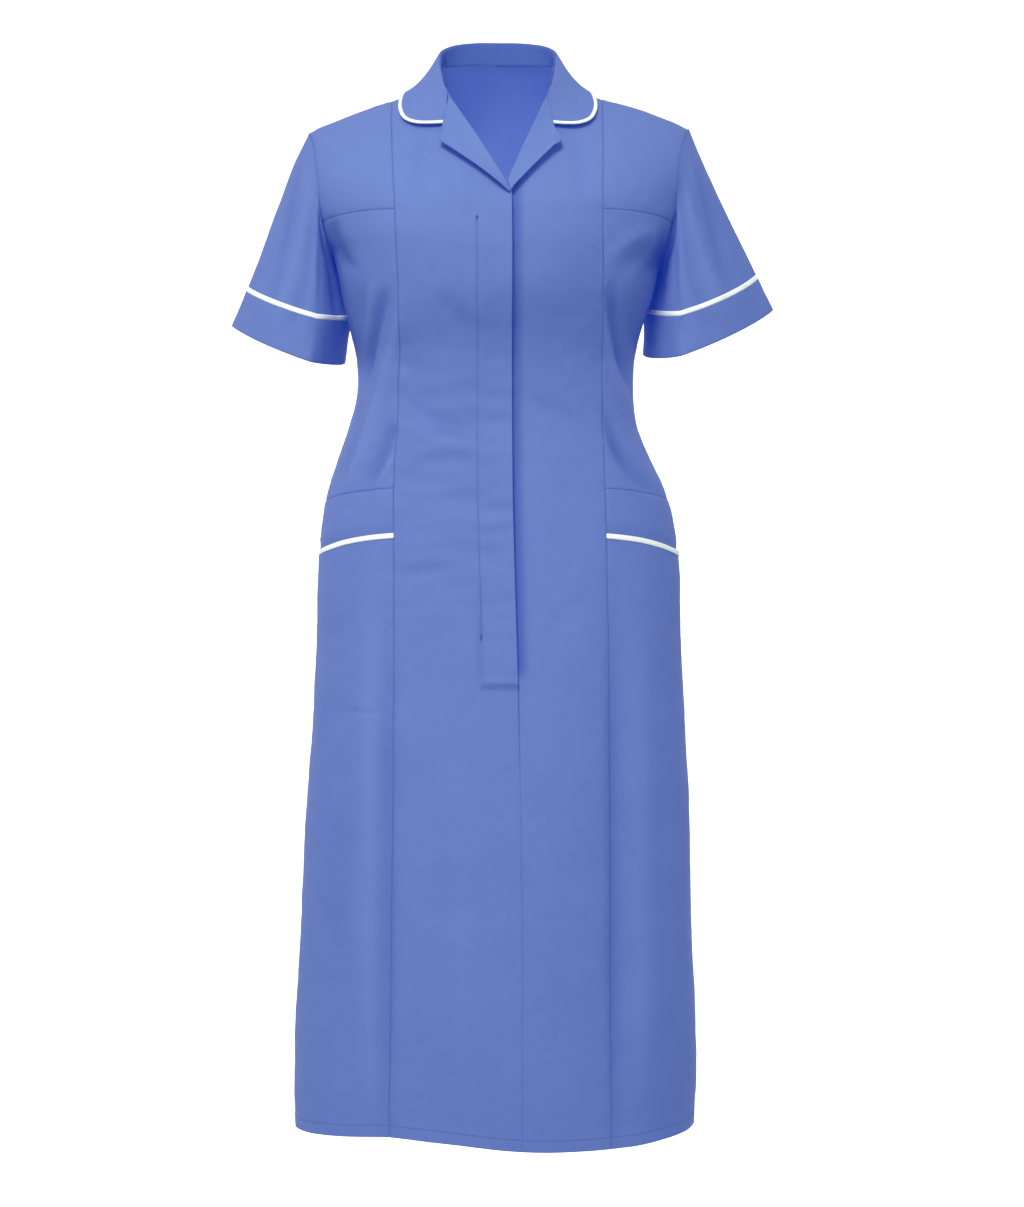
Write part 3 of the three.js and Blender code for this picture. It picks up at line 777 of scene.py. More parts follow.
def put_in(tree, inputs, values):
    """Gives a node's inputs their values, each a socket or a number."""
    for put, value in zip(inputs, values):
        if isinstance(value, bpy.types.NodeSocket):
            tree.links.new(value, put)
        else:
            put.default_value = value


def math_node(tree, operation, *values):
    node = tree.nodes.new("ShaderNodeMath")
    node.operation = operation
    put_in(tree, node.inputs, values)
    return node.outputs[0]


def vector_node(tree, operation, *values):
    node = tree.nodes.new("ShaderNodeVectorMath")
    node.operation = operation
    put_in(tree, node.inputs, values)
    return node


def noise_node(tree, vector, scale, detail):
    node = tree.nodes.new("ShaderNodeTexNoise")
    node.inputs["Scale"].default_value = scale
    node.inputs["Detail"].default_value = detail
    tree.links.new(vector, node.inputs["Vector"])
    return node.outputs["Fac"]


def thread_node(tree, vector, direction, scale):
    """Bands of threads side by side."""
    node = tree.nodes.new("ShaderNodeTexWave")
    node.bands_direction = direction
    node.inputs["Distortion"].default_value = THREAD_DISTORTION
    node.inputs["Detail"].default_value = THREAD_DETAIL
    tree.links.new(scale, node.inputs["Scale"])
    tree.links.new(vector, node.inputs["Vector"])
    return node.outputs["Fac"]


def mixed(tree, total, parts, mix):
    """A number or a socket with parts of the weave added, each by its weight."""
    for name, weight in mix.items():
        total = math_node(tree, "MULTIPLY_ADD", parts[name], weight, total)
    return total


def woven_group():
    """Woven cloth: threads over and under, slubs, uneven dye, and the painted shade marked on the mesh.
    """
    tree = bpy.data.node_groups.new("woven_cloth", "ShaderNodeTree")
    socket(tree, "Dye", "NodeSocketColor")
    socket(tree, "Thread scale", "NodeSocketFloat")
    socket(tree, "Mottle", "NodeSocketFloat")
    socket(tree, "Color", "NodeSocketColor", out=True)
    socket(tree, "Roughness", "NodeSocketFloat", out=True)
    socket(tree, "Height", "NodeSocketFloat", out=True)
    enter = tree.nodes.new("NodeGroupInput").outputs
    leave = tree.nodes.new("NodeGroupOutput").inputs
    place = tree.nodes.new("ShaderNodeTexCoord").outputs
    stretch = tree.nodes.new("ShaderNodeMapping")
    stretch.inputs["Scale"].default_value = SLUB_STRETCH
    tree.links.new(place["UV"], stretch.inputs["Vector"])
    over = thread_node(tree, place["UV"], "X", enter["Thread scale"])
    under = thread_node(tree, place["UV"], "Y", enter["Thread scale"])
    parts = {
        "weave": math_node(tree, "MULTIPLY", over, under),
        "slub": noise_node(tree, stretch.outputs[0], *SLUB_NOISE),
        "fleck": noise_node(tree, place["Object"], *FLECK_NOISE),
    }
    patch = noise_node(tree, place["Object"], *PATCH_NOISE)
    even = math_node(tree, "MULTIPLY_ADD", enter["Mottle"], -0.5, EVEN_DYE)
    strength = math_node(tree, "MULTIPLY_ADD", patch, enter["Mottle"], even)
    strength = mixed(tree, strength, parts, DYE_MIX)
    # Painted shade marked on the mesh darkens the dye, red and green more than blue
    mark = tree.nodes.new("ShaderNodeAttribute")
    mark.attribute_name = "painted_shade"
    painted_shade_tone = vector_node(tree, "MULTIPLY_ADD", mark.outputs["Fac"], DEEP_TINT, (1, 1, 1))
    dye_under_painted_shade = vector_node(tree, "MULTIPLY", enter["Dye"], painted_shade_tone.outputs[0])
    tint = vector_node(tree, "SCALE", dye_under_painted_shade.outputs[0])
    tree.links.new(strength, tint.inputs["Scale"])
    tree.links.new(tint.outputs[0], leave["Color"])
    tree.links.new(mixed(tree, EVEN_ROUGHNESS, parts, ROUGHNESS_MIX), leave["Roughness"])
    tree.links.new(mixed(tree, parts["weave"], parts, HEIGHT_MIX), leave["Height"])
    return tree


def woven_material(name, colour, period, mottle, sheen, glow):
    """Cloth that takes its colour, roughness and thread height from the woven group."""
    material = bpy.data.materials.new(name)
    material.use_nodes = True
    material.diffuse_color = (*colour, 1)
    tree = material.node_tree
    shader = tree.nodes["Principled BSDF"]
    woven = tree.nodes.new("ShaderNodeGroup")
    woven.node_tree = bpy.data.node_groups.get("woven_cloth") or woven_group()
    woven.inputs["Dye"].default_value = (*colour, 1)
    woven.inputs["Thread scale"].default_value = BAND_DISTANCE / period
    woven.inputs["Mottle"].default_value = mottle
    bump = tree.nodes.new("ShaderNodeBump")
    bump.inputs["Strength"].default_value = BUMP_STRENGTH
    bump.inputs["Distance"].default_value = BUMP_DISTANCE
    tree.links.new(woven.outputs["Color"], shader.inputs["Base Color"])
    tree.links.new(woven.outputs["Roughness"], shader.inputs["Roughness"])
    tree.links.new(woven.outputs["Height"], bump.inputs["Height"])
    tree.links.new(bump.outputs["Normal"], shader.inputs["Normal"])
    shader.inputs["Sheen Weight"].default_value = sheen
    shader.inputs["Sheen Roughness"].default_value = SHEEN_ROUGHNESS
    shader.inputs["Specular IOR Level"].default_value = SPECULAR
    # Painted glow: a faint blue light given off by the cloth
    shader.inputs["Emission Color"].default_value = GLOW_COLOUR
    shader.inputs["Emission Strength"].default_value = glow
    # So faint a glow isn't sampled as a lamp
    material.cycles.emission_sampling = "NONE"
    return material


materials = {}


def material_of(kind):
    """The cloth, piping or thread material, made once from the settings' colours."""
    if kind not in materials:
        name, *finish = FABRICS[kind]
        colour = getattr(bpy.context.scene.dress_settings, f"{kind}_colour")
        materials[kind] = woven_material(name, colour, *finish)
    return materials[kind]


# Pieces


def sewn_panel(node, points, thick, seams=(), closed=False, painted_shade=0):
    """A cloth piece, each point marked with its painted shade: along its seams, on its rims if it has
    seams, and as passed in elsewhere.
    """
    mesh = wall_mesh(node, points, thick, closed)
    edges = edge_distances(points)
    near = np.zeros(points.shape[:2])
    for side in seams:
        near = np.maximum(near, SEAM_SHADE * bell(edges[side], SEAM_SHADE_WIDTH))
    # The attribute holds painted shade; the inner face takes only the seams' painted shade
    mark = mesh.attributes.new("painted_shade", "FLOAT", "POINT")
    values = np.full(len(mesh.vertices), RIM_SHADE * SEAM_SHADE if seams else 0, np.float32)
    values[: near.size] = (near + painted_shade).ravel()
    values[near.size : 2 * near.size] = near.ravel()
    mark.data.foreach_set("value", values)
    return cloth_piece(node, mesh, material_of("cloth"))


def dome(across, size):
    """Rounded top of piping, from -1 at one edge to 1 at the other."""
    return size.dome * np.sqrt(np.clip(1 - across**4, 0, 1))


def piping_strip(node, points, thick, closed=False):
    mesh = wall_mesh(node, points, thick, closed)
    return dress_piece(f"trim_{node}", mesh, material_of("piping"), node)


def hem_relief(edges):
    """The hem's stitches draw the cloth in, and its single layer lies a little lower above them."""
    above = edges["low"] - HEM_STITCH
    return -HEM_SINK * bell(above, GROOVE_WIDTH) - HEM_STEP * smooth(1, 5, above)


def hem_thickness(edges, size):
    """The cloth is double below the hem's stitches."""
    return size.cloth * (1 + smooth(HEM_STITCH + 1, HEM_STITCH, edges["low"]))


class DressSettings(bpy.types.PropertyGroup):
    """Sizes and colours of the dress's cloth."""

    cloth_colour: bpy.props.FloatVectorProperty(
        name="Cloth", description="Colour of the dress cloth", subtype="COLOR", size=3, min=0, max=1,
        default=(0.128, 0.184, 0.37),
    )
    piping_colour: bpy.props.FloatVectorProperty(
        name="Piping", description="Colour of the piping", subtype="COLOR", size=3, min=0, max=1,
        default=(0.95, 1, 1),
    )
    thread_colour: bpy.props.FloatVectorProperty(
        name="Thread", description="Colour of the sewing thread", subtype="COLOR", size=3, min=0, max=1,
        default=(0.075, 0.115, 0.31),
    )
    cloth_thickness: bpy.props.FloatProperty(
        name="Cloth thickness", description="Thickness of one layer of cloth", unit="LENGTH",
        default=0.0009, min=0.0003, max=0.003, precision=4,
    )
    band_thickness: bpy.props.FloatProperty(
        name="Band thickness", description="Thickness of cuffs and other folded bands", unit="LENGTH",
        default=0.0018, min=0.0005, max=0.004, precision=4,
    )
    piping_width: bpy.props.FloatProperty(
        name="Piping width", description="Visible width of the piping", unit="LENGTH",
        default=0.0052, min=0.002, max=0.01, precision=4,
    )
    piping_height: bpy.props.FloatProperty(
        name="Piping height", description="How far the piping stands above the cloth", unit="LENGTH",
        default=0.0008, min=0, max=0.004, precision=4,
    )
    seam_gap: bpy.props.FloatProperty(
        name="Seam gap", description="Gap between two pieces at a seam", unit="LENGTH",
        default=0.0002, min=0, max=0.002, precision=4,
    )
    seam_groove: bpy.props.FloatProperty(
        name="Seam groove", description="How far the cloth is drawn in along a seam", unit="LENGTH",
        default=0.0004, min=0, max=0.003, precision=4,
    )
    grid_step: bpy.props.FloatProperty(
        name="Grid step", description="Distance between the points of a panel", unit="LENGTH",
        default=0.0032, min=0.002, max=0.02, precision=4,
    )
    stitch_length: bpy.props.FloatProperty(
        name="Stitch length", description="Length of one stitch with its gap", unit="LENGTH",
        default=0.003, min=0.001, max=0.01, precision=4,
    )


class Sizes:
    """The settings in millimetres."""

    def __init__(self):
        settings = bpy.context.scene.dress_settings
        self.cloth = settings.cloth_thickness / MM
        self.band = settings.band_thickness / MM
        self.piping = settings.piping_width / MM
        self.dome = settings.piping_height / MM
        self.gap = settings.seam_gap / MM
        self.groove = settings.seam_groove / MM
        self.step = settings.grid_step / MM
        self.stitch = settings.stitch_length / MM


# Fly: its ends, the line of stitches that holds it down, and how its ends and edges soften
FLY_BOTTOM = -602
FLY_TOP = -150
FLY_STITCH = 33.5
STITCH_BOTTOM = -557
FLY_SOFT = 2.5
FLY_FADE = 28

# Relief of the fly: its band, its springing edge, its stitches, the ridge at its end, studs under it
BAND_RISE = 1.3
EDGE_SPRING = 1.7
SPRING_SWAY = 0.6
SPRING_REACH = 18
STITCH_SINK = 0.5
STITCH_WIDTH = 1.5
END_RIDGE = 1.8
END_WIDTH = 2.4
STUD_HEIGHTS = range(-580, -180, 66)
STUD_INSET = 24
STUD_RADIUS = 7
STUD_RISE = 0.7

# Painted shade of the fly: along its stitches, at its end, and beside its lower corner
LINE_SHADE = 0.1
LINE_SHADE_WIDTH = 1.4
END_SHADE = 0.2
CORNER_SHADE = 0.14
CORNER_SHADE_WIDTH = 4
CORNER_SHADE_TOP = (-500, -560)

# The front under the fly: how far it laps and where that ends, how far it dips, and the painted shadow
# of the fly's edge on it
UNDERLAP = 32
UNDERLAP_END = (-600, -545)
UNDER_DIP = 2.4
UNDER_DIP_REACH = (30, 4)
UNDER_DIP_FADE = 110
UNDER_SHADE = 0.4
UNDER_SHADE_REACH = (14, 2)
UNDER_SHADE_FADE = 20


def fly_over(points):
    """Relief of the fly: a raised band with a free edge that springs out."""
    z = points[..., 2]
    inside = fly_edge(z) - points[..., 0]
    within = smooth(FLY_BOTTOM - FLY_SOFT, FLY_BOTTOM + FLY_SOFT, z)
    within = within * smooth(FLY_TOP + FLY_FADE, FLY_TOP, z)
    band = BAND_RISE * smooth(FLY_STITCH + 2, FLY_STITCH - 1.5, inside)
    sway = EDGE_SPRING + SPRING_SWAY * slow_wave(points)
    spring = sway * smooth(SPRING_REACH, 0, inside) * smooth(FLY_BOTTOM, FLY_BOTTOM + SPRING_REACH, z)
    sewn = smooth(STITCH_BOTTOM - 5, STITCH_BOTTOM, z) * smooth(FLY_TOP + 2, FLY_TOP - 3, z)
    stitched = STITCH_SINK * bell(inside - FLY_STITCH, STITCH_WIDTH) * sewn
    end = END_RIDGE * bell(z - FLY_BOTTOM - 2, END_WIDTH) * smooth(FLY_STITCH + 3, FLY_STITCH, inside)
    studs = sum(bell(np.hypot(inside - STUD_INSET, z - height), STUD_RADIUS) for height in STUD_HEIGHTS)
    return within * (band + spring + STUD_RISE * studs) - stitched + end


def painted_fly_shade(points):
    """Painted shade along the line that holds the fly down, at the fly's end and beside its lower
    corner.
    """
    z = points[..., 2]
    inside = fly_edge(z) - points[..., 0]
    sewn = smooth(STITCH_BOTTOM - 7, STITCH_BOTTOM, z) * smooth(FLY_TOP + 2, FLY_TOP - 3, z)
    line = LINE_SHADE * bell(inside - FLY_STITCH, LINE_SHADE_WIDTH) * sewn
    end = END_SHADE * bell(z - FLY_BOTTOM + 2, END_WIDTH) * smooth(FLY_STITCH + 4, FLY_STITCH, inside)
    low = smooth(FLY_BOTTOM - 2, FLY_BOTTOM + 12, z) * smooth(*CORNER_SHADE_TOP, z)
    corner = CORNER_SHADE * bell(inside - FLY_STITCH - 2, CORNER_SHADE_WIDTH) * low
    return line + end + corner


def under_fly(points):
    """The other front dips behind the fly."""
    z = points[..., 2]
    beyond = points[..., 0] - fly_edge(z)
    behind = smooth(FLY_BOTTOM - UNDER_DIP_FADE, FLY_BOTTOM, z)
    return -UNDER_DIP * behind * smooth(*UNDER_DIP_REACH, beyond)


def painted_under_fly_shadow(points):
    """Painted shadow of the fly's free edge on the other front, close to that edge."""
    z = points[..., 2]
    beyond = points[..., 0] - fly_edge(z)
    behind = smooth(FLY_BOTTOM, FLY_BOTTOM + UNDER_SHADE_FADE, z)
    return UNDER_SHADE * behind * smooth(*UNDER_SHADE_REACH, beyond)


class DRESS_OT_front(bpy.types.Operator):
    """Makes the two centre fronts, lapped along the fly"""

    bl_idname = "dress.front"
    bl_label = "Centre fronts"

    def execute(self, context):
        size = Sizes()
        half = size.gap / 2

        def under_edge(z):
            return angle_at(fly_edge(z) + half - UNDERLAP * smooth(*UNDERLAP_END, z), z)

        self.make_front(
            "front_centre_right", front_seam("right", half), front_seam("edge", -half), right_neck,
            ("left", "right"), fly_over, painted_fly_shade, sew_fly, size,
        )
        self.make_front(
            "front_centre_left", under_edge, front_seam("left", -half), left_neck,
            ("right", "left"), under_fly, painted_under_fly_shadow, None, size,
        )
        return {"FINISHED"}

    def make_front(self, node, start, end, neck, seams, fly, fly_painted_shade, stitches, size):
        """One front: its side seam all the way down, and its seam with the other front below the fly."""
        side, middle = seams
        points = panel_grid(start, end, hem_line, neck, PANEL_SIZE[node], size.step, CHEST)
        edges = edge_distances(points)
        below = smooth(FLY_BOTTOM + 4, FLY_BOTTOM - 8, points[..., 2])
        relief = seam_relief(points, edges, [side], size.groove)
        relief += below * seam_relief(points, edges, [middle], size.groove)
        relief += cloth_relief(points) + hem_relief(edges) + fly(points)
        # Painted shade in creases, painted shadow below the collar, and painted shade at the fly
        painted_shade = painted_crease_shade(points) + painted_collar_shadow(points) + fly_painted_shade(points)
        points = pushed(points, relief)
        trims = [*stitches(points, size)] if stitches else []
        trims.append(sew_hem(node, points, size))
        sewn_panel(node, points, hem_thickness(edges, size), [side], False, painted_shade)


class DRESS_OT_sides(bpy.types.Operator):
    """Makes the side pieces of the fronts, with the hip pockets and their piping"""

    bl_idname = "dress.sides"
    bl_label = "Front sides and pockets"

    def execute(self, context):
        size = Sizes()
        for name, side in (("right", -1), ("left", 1)):
            self.make_side(name, side, size)
        return {"FINISHED"}

    def make_side(self, name, side, size):
        inner = front_seam(name, side * size.gap / 2)
        outer = side_angle(side, False, size.gap)
        start, end = (outer, inner) if side < 0 else (inner, outer)
        half, trim = size.gap / 2, size.piping / 2
        mouth = cross_seam("mouth")

        low, high = cross_seam("mouth", -trim), cross_seam("mouth", trim)
        band = panel_grid(start, end, low, high, PANEL_SIZE["pocket_piping"], PIPING_STEP)
        edges = edge_distances(band)
        rise = edges["low"] / edges["low"][-1:]
        relief = dome(2 * rise - 1, size) + cloth_relief(band)
        piping = piping_strip(f"pocket_piping_{name}", pushed(band, relief), size.band)

        def tucked(points):
            return -TUCK_DEPTH * smooth(TUCK_BEND, 0, points[..., 2] - mouth(points[..., 0]))

        def piece(label, bottom, top, seams, extra=None, hem=False):
            node = f"{label}_{name}"
            points = panel_grid(start, end, bottom, top, PANEL_SIZE[label], size.step)
            edges = edge_distances(points)
            held = smooth(0, ARMHOLE_HOLD, edges["left" if side < 0 else "right"])
            relief = seam_relief(points, edges, seams, size.groove) + cloth_relief(points, held)
            # Painted shade in creases and painted shadow below the collar
            painted_shade = held * painted_crease_shade(points) + painted_collar_shadow(points)
            thick, trims = size.cloth, []
            if extra:
                relief += extra(points)
            if hem:
                points = pushed(points, relief + hem_relief(edges))
                thick = hem_thickness(edges, size)
                trims = [piping, sew_hem(node, points, size)]
            else:
                points = pushed(points, relief)
            sewn_panel(node, points, thick, seams, False, painted_shade)

        around = ["left", "right", "low", "high"]
        piece("front_shoulder", cross_seam("bust", half), shoulder_line, around)
        piece("front_side", cross_seam("facing", half), cross_seam("bust", -half), around)
        facing_low = cross_seam("mouth", -FACING_TUCK)
        facing_high = cross_seam("facing", -half)
        piece("pocket_facing", facing_low, facing_high, ["left", "right", "high"], tucked)
        piece("skirt_side", hem_line, cross_seam("mouth", -trim - half), ["left", "right"], None, True)


class DRESS_OT_back(bpy.types.Operator):
    """Makes the back, cut in one piece on the fold"""

    bl_idname = "dress.back"
    bl_label = "Back"

    def execute(self, context):
        size = Sizes()
        left, right = side_angle(1, True, size.gap), side_angle(-1, True, size.gap)

        def far_side(z):
            return 2 * np.pi + right(z)

        def level_hem(x):
            return BACK_HEM + 0 * x

        step = BACK_STEP * size.step
        points = panel_grid(left, far_side, level_hem, back_neck, PANEL_SIZE["back"], step, CHEST)
        edges = edge_distances(points)
        seams = ["left", "right", "high"]
        relief = seam_relief(points, edges, seams, size.groove)
        held = smooth(0, ARMHOLE_HOLD, np.minimum(edges["left"], edges["right"]))
        relief += cloth_relief(points, held) + hem_relief(edges)
        # Painted shade in the back's creases
        painted_shade = painted_crease_shade(points)
        points = pushed(points, relief)
        trims = [sew_hem("back", points, size)]
        sewn_panel("back", points, hem_thickness(edges, size), seams, False, painted_shade)
        return {"FINISHED"}


# Creases of a sleeve: bearing from its outer side over its front, places along it, width, depth, lean
SLEEVE_CREASES = table("bearing top bottom width depth lean", [
    [128, 0.3, 4.6, 12, -2.2, 6],
    [112, 0.1, 1.5, 11, -3.4, 10],
    [72, 0.8, 5.4, 7, -2, -16],
    [56, 0.6, 5, 7, 1.8, -14],
    [34, 0.3, 4.4, 8, -1.8, 14],
    [92, 1.2, 5.4, 6, -1.6, -8],
    [322, 0.5, 3.8, 12, -1.6, -12],
    [290, 0.5, 4.2, 12, 1.6, -8],
    [250, 0.4, 4.4, 11, -1.8, 10],
])

# Sleeves: how far they tuck in under the armhole's edge, where that fades at the shoulder, and the grid
SLEEVE_TUCK = 3
TUCK_FADE = (0.95, 0.4)
TUCK_SINK = 1.2
SLEEVE_LENGTH = 190
SLEEVE_TURNS = 144
SLEEVE_ROWS = 62
RAIL_STEP = 0.02
PIPING_ROWS = 9

# Painted shade along the seam where a sleeve is sewn in
ARMHOLE_SHADE = 1.4 * SEAM_SHADE
ARMHOLE_SHADE_WIDTH = 1.6

# Cuffs: height and grid step, how far they stand out, and how their lower edge is drawn in
CUFF_LENGTH = 46
CUFF_STEP = 3.2
CUFF_RISE = 0.5
CUFF_EDGE = 0.35
CUFF_EDGE_WIDTH = 1.6


def rail(stations, place):
    """Smooth curves down the columns of a grid of points, at places counted in rows."""
    before = 2 * stations[:1] - stations[1:2]
    after = 2 * stations[-1:] - stations[-2:-1]
    points = np.concatenate([before, stations, after])
    i = np.clip(np.floor(place), 0, len(stations) - 2).astype(int)
    t = (place - i)[..., None]
    line = np.arange(stations.shape[1])
    p, q, r, s = (points[i + k, line] for k in range(4))
    return q + t / 2 * (r - p + t * (2 * p - 5 * q + 4 * r - s + t * (3 * (q - r) + s - p)))


def sleeve_stations(side, rows, turn):
    """The armhole's edge and the sections of a sleeve, at turns round it."""
    tip = SHOULDER_TIP + (LEFT_LIFT if side > 0 else 0)
    z = UNDERARM + (tip - UNDERARM) * (1 + np.cos(turn)) / 2
    x = side * column(ARMHOLE, "z", "x", z)
    behind = (side * np.sin(turn) > 0)[:, None]
    armhole = np.where(behind, on_body(x, z, True), on_body(x, z)) + np.array([side * ARMHOLE_GAP, 0, 0])
    cos, sin = np.cos(turn), np.sin(turn)
    stations = [armhole]
    for row in rows_of(rows):
        flat = np.where(cos < 0, INNER_POWER, OUTER_POWER)
        power = ROUND_POWER + (flat - ROUND_POWER) * row["fold"]
        radius = (np.abs(cos) ** power + np.abs(sin) ** power) ** (-1 / power)
        y = side * row["depth"] * radius * sin
        round_outward = (1 + radius * cos) / 2
        inner = (1 - round_outward) ** 3
        outward = round_outward - SLEEVE_SKEW * row["fold"] * np.maximum(0, -y / row["depth"])
        across = row["inX"] + (row["outX"] - row["inX"]) * outward - side * row["tuck"] * inner
        height = row["inZ"] + (row["outZ"] - row["inZ"]) * outward + row["dip"] * y / row["depth"]
        stations.append(np.stack([across, y + TIP_BACK * row["fold"] * inner, height], -1))
    return np.stack(stations)


def sleeve_relief(points, side, turn, place):
    """Folds hanging down a sleeve."""
    bearing = np.degrees(-side * turn) % 360
    total = worn_relief(points, *SLEEVE_WAVES)
    for crease in rows_of(SLEEVE_CREASES):
        along = (place - crease["top"]) / (crease["bottom"] - crease["top"])
        off = half_turn(bearing - crease["bearing"] - crease["lean"] * (along - 0.5))
        ends = smooth(*SLEEVE_CREASE_START, along) * smooth(*SLEEVE_CREASE_END, along)
        total += crease["depth"] * ends * bell(off, crease["width"])
    return total


# Painted shade in the troughs of a sleeve's folds and painted highlight on their ridges
def painted_sleeve_shade(relief):
    return np.clip(-CREASE_SHADE * relief, *SLEEVE_LIMITS)


class DRESS_OT_sleeves(bpy.types.Operator):
    """Makes the short sleeves, their piping and their cuffs"""

    bl_idname = "dress.sleeves"
    bl_label = "Sleeves and cuffs"

    def execute(self, context):
        size = Sizes()
        for name, side in (("right", -1), ("left", 1)):
            self.make_sleeve(name, side, size)
        return {"FINISHED"}

    def make_sleeve(self, name, side, size):
        turn = np.pi + np.linspace(0, 2 * np.pi, SLEEVE_TURNS, endpoint=False)
        stations = sleeve_stations(side, SLEEVES[name], turn)
        last = len(stations) - 1
        near = rail(stations, np.full((1, SLEEVE_TURNS), float(CUFF_SEAM)))
        far = rail(stations, np.full((1, SLEEVE_TURNS), CUFF_SEAM + RAIL_STEP))
        per_mm = RAIL_STEP / np.linalg.norm(far - near, axis=-1)[0]

        def tube(low, high, shares):
            place = low + (high - low) * np.asarray(shares)[:, None]
            return rail(stations, place), place

        upper = CUFF_SEAM - per_mm * (size.piping / 2)
        lower = CUFF_SEAM + per_mm * (size.piping / 2)
        gap = per_mm * size.gap
        start = np.linalg.norm(rail(stations, 0 * turn[None] + RAIL_STEP) - stations[0], axis=-1)[0]
        tuck = SLEEVE_TUCK * smooth(*TUCK_FADE, np.cos(turn))
        shares = spread(SLEEVE_LENGTH, SLEEVE_LENGTH / SLEEVE_ROWS)
        points, place = tube(upper - gap, -tuck * RAIL_STEP / start, shares)
        sewn_in = edge_distances(points)["high"] - tuck
        relief = sleeve_relief(points, side, turn, place) * smooth(0, ARMHOLE_HOLD, sewn_in)
        # Painted shade in the sleeve's folds and along its armhole seam
        painted_shade = painted_sleeve_shade(relief) + ARMHOLE_SHADE * bell(sewn_in, ARMHOLE_SHADE_WIDTH)
        relief -= TUCK_SINK * smooth(2, -SLEEVE_TUCK, sewn_in) * tuck / SLEEVE_TUCK
        points = pushed(points, relief, True)
        sewn_panel(f"sleeve_{name}", points, size.cloth, [], True, painted_shade)

        points, place = tube(lower, upper, np.linspace(0, 1, PIPING_ROWS))
        across = np.linspace(-1, 1, PIPING_ROWS)[:, None]
        relief = sleeve_relief(points, side, turn, place) + dome(across, size)
        piping = piping_strip(f"cuff_piping_{name}", pushed(points, relief, True), size.band, True)

        points, place = tube(0 * turn + last, lower + gap, spread(CUFF_LENGTH, CUFF_STEP))
        folds = sleeve_relief(points, side, turn, place)
        drawn_in = CUFF_EDGE * bell(edge_distances(points)["low"], CUFF_EDGE_WIDTH)
        points = pushed(points, CUFF_RISE + folds - drawn_in, True)
        # Painted shade in the cuff's folds
        sewn_panel(f"cuff_{name}", points, size.band, (), True, painted_sleeve_shade(folds))


# Collar: half width and drop of its fold, bow of its fall, its seat on the neck, stand's painted shade
# and grid
FOLD_HALF = 2.6
FOLD_DROP = 3
FALL_BOW = 5
NECK_GAP = 1.6
STAND_LAP = 1.3
STAND_RISE = (4.6, 6)
STAND_SHADE = 0.42
COLLAR_LENGTH = 230
COLLAR_COLUMNS = 92
COLLAR_HEIGHT = 88
COLLAR_ROWS = 52
COLLAR_LAYERS = 1.5
FALL_SHARES = (0, 0.25, 0.5, 0.75, 1)


def collar_sections(place, side):
    """Neck, stand, roll, fall and edge of the collar at places along one half of it."""
    at = {name: column(COLLAR, "place", name, place) for name in COLLAR}
    neck_x = side * at["neckX"]
    behind = (place < COLLAR_FRONT)[:, None]
    back = smooth(COLLAR_FRONT, COLLAR_FRONT - 1, place)
    neck = np.where(behind, on_body(neck_x, at["neckZ"], True), on_body(neck_x, at["neckZ"]))
    neck = neck + np.stack([0 * place, -STAND_LAP * back, NECK_GAP - (NECK_GAP + STAND_LAP) * back], -1)
    roll = np.stack([side * at["rollX"], at["rollY"], at["rollZ"]], -1)
    edge = np.stack([side * at["edgeX"], at["edgeY"], at["edgeZ"]], -1)
    out = (edge - neck) * LEVEL
    out = FOLD_HALF * out / np.linalg.norm(out, axis=-1)[:, None]
    drop = FOLD_DROP * UP
    return np.stack([neck, roll - out - drop, roll, roll + out - drop, edge])


def fall_points(sections, inside, share):
    """Points of the fall, a share of the way up from a distance inside its edge."""
    fall, edge = sections[3], sections[4]
    start = inside / np.linalg.norm(fall - edge, axis=-1)
    t = (start + (1 - start) * share)[:, None]
    points = edge + (fall - edge) * t
    bow = FALL_BOW * np.abs(edge[:, :1]) / COLLAR_REACH * 4 * t * (1 - t)
    return points - bow * UP


class DRESS_OT_collar(bpy.types.Operator):
    """Makes the collar, its stand and the piping on its edge"""

    bl_idname = "dress.collar"
    bl_label = "Collar"

    def execute(self, context):
        size = Sizes()
        place = COLLAR["place"][-1] * spread(COLLAR_LENGTH, COLLAR_LENGTH / COLLAR_COLUMNS)
        sections = np.concatenate([collar_sections(place[::-1], 1), collar_sections(place[1:], -1)], 1)
        stand, neck = sections[1], sections[0]
        inside = size.piping + size.gap
        controls = [fall_points(sections, inside, share) for share in FALL_SHARES]
        controls += [sections[2], stand, (stand + neck) / 2, neck]
        controls = np.stack(controls)
        rows = (len(controls) - 1) * spread(COLLAR_HEIGHT, COLLAR_HEIGHT / COLLAR_ROWS)
        points = rail(controls, np.repeat(rows[:, None], controls.shape[1], 1))
        edges = edge_distances(points)
        relief = worn_relief(points, *COLLAR_WAVES) + seam_relief(points, edges, ["high"], size.groove)
        points = pushed(points, relief)
        across = np.linspace(-1, 1, PIPING_ROWS)
        strip = np.stack([fall_points(sections, size.piping * (1 + at) / 2, 0) for at in across])
        relief = worn_relief(strip, *COLLAR_WAVES) + dome(across, size)[:, None]
        trims = [piping_strip("collar_piping", pushed(strip, relief), size.band), sew_neck()]
        # Painted shade over the stand, inside the back of the neck
        stand_rows = smooth(*STAND_RISE, rows)[:, None]
        painted_shade = np.repeat(STAND_SHADE * stand_rows, points.shape[1], 1)
        sewn_panel("collar", points, COLLAR_LAYERS * size.cloth, ["high"], False, painted_shade)
        return {"FINISHED"}


# Revers: radius and turn of the roll, the corner's row, the curve of the lift, the gap below, the grid
ROLL_RADIUS = 1.7
ROLL_TURN = np.radians(np.linspace(-80, -270, 12))
REVER_CORNER = 2
LIFT_POWER = 1.6
REVER_GAP = 0.3
REVER_LENGTHS = (60, 90)
REVER_ROW_STEP = 2.6
REVER_WIDTH = 70
REVER_STEP = 3


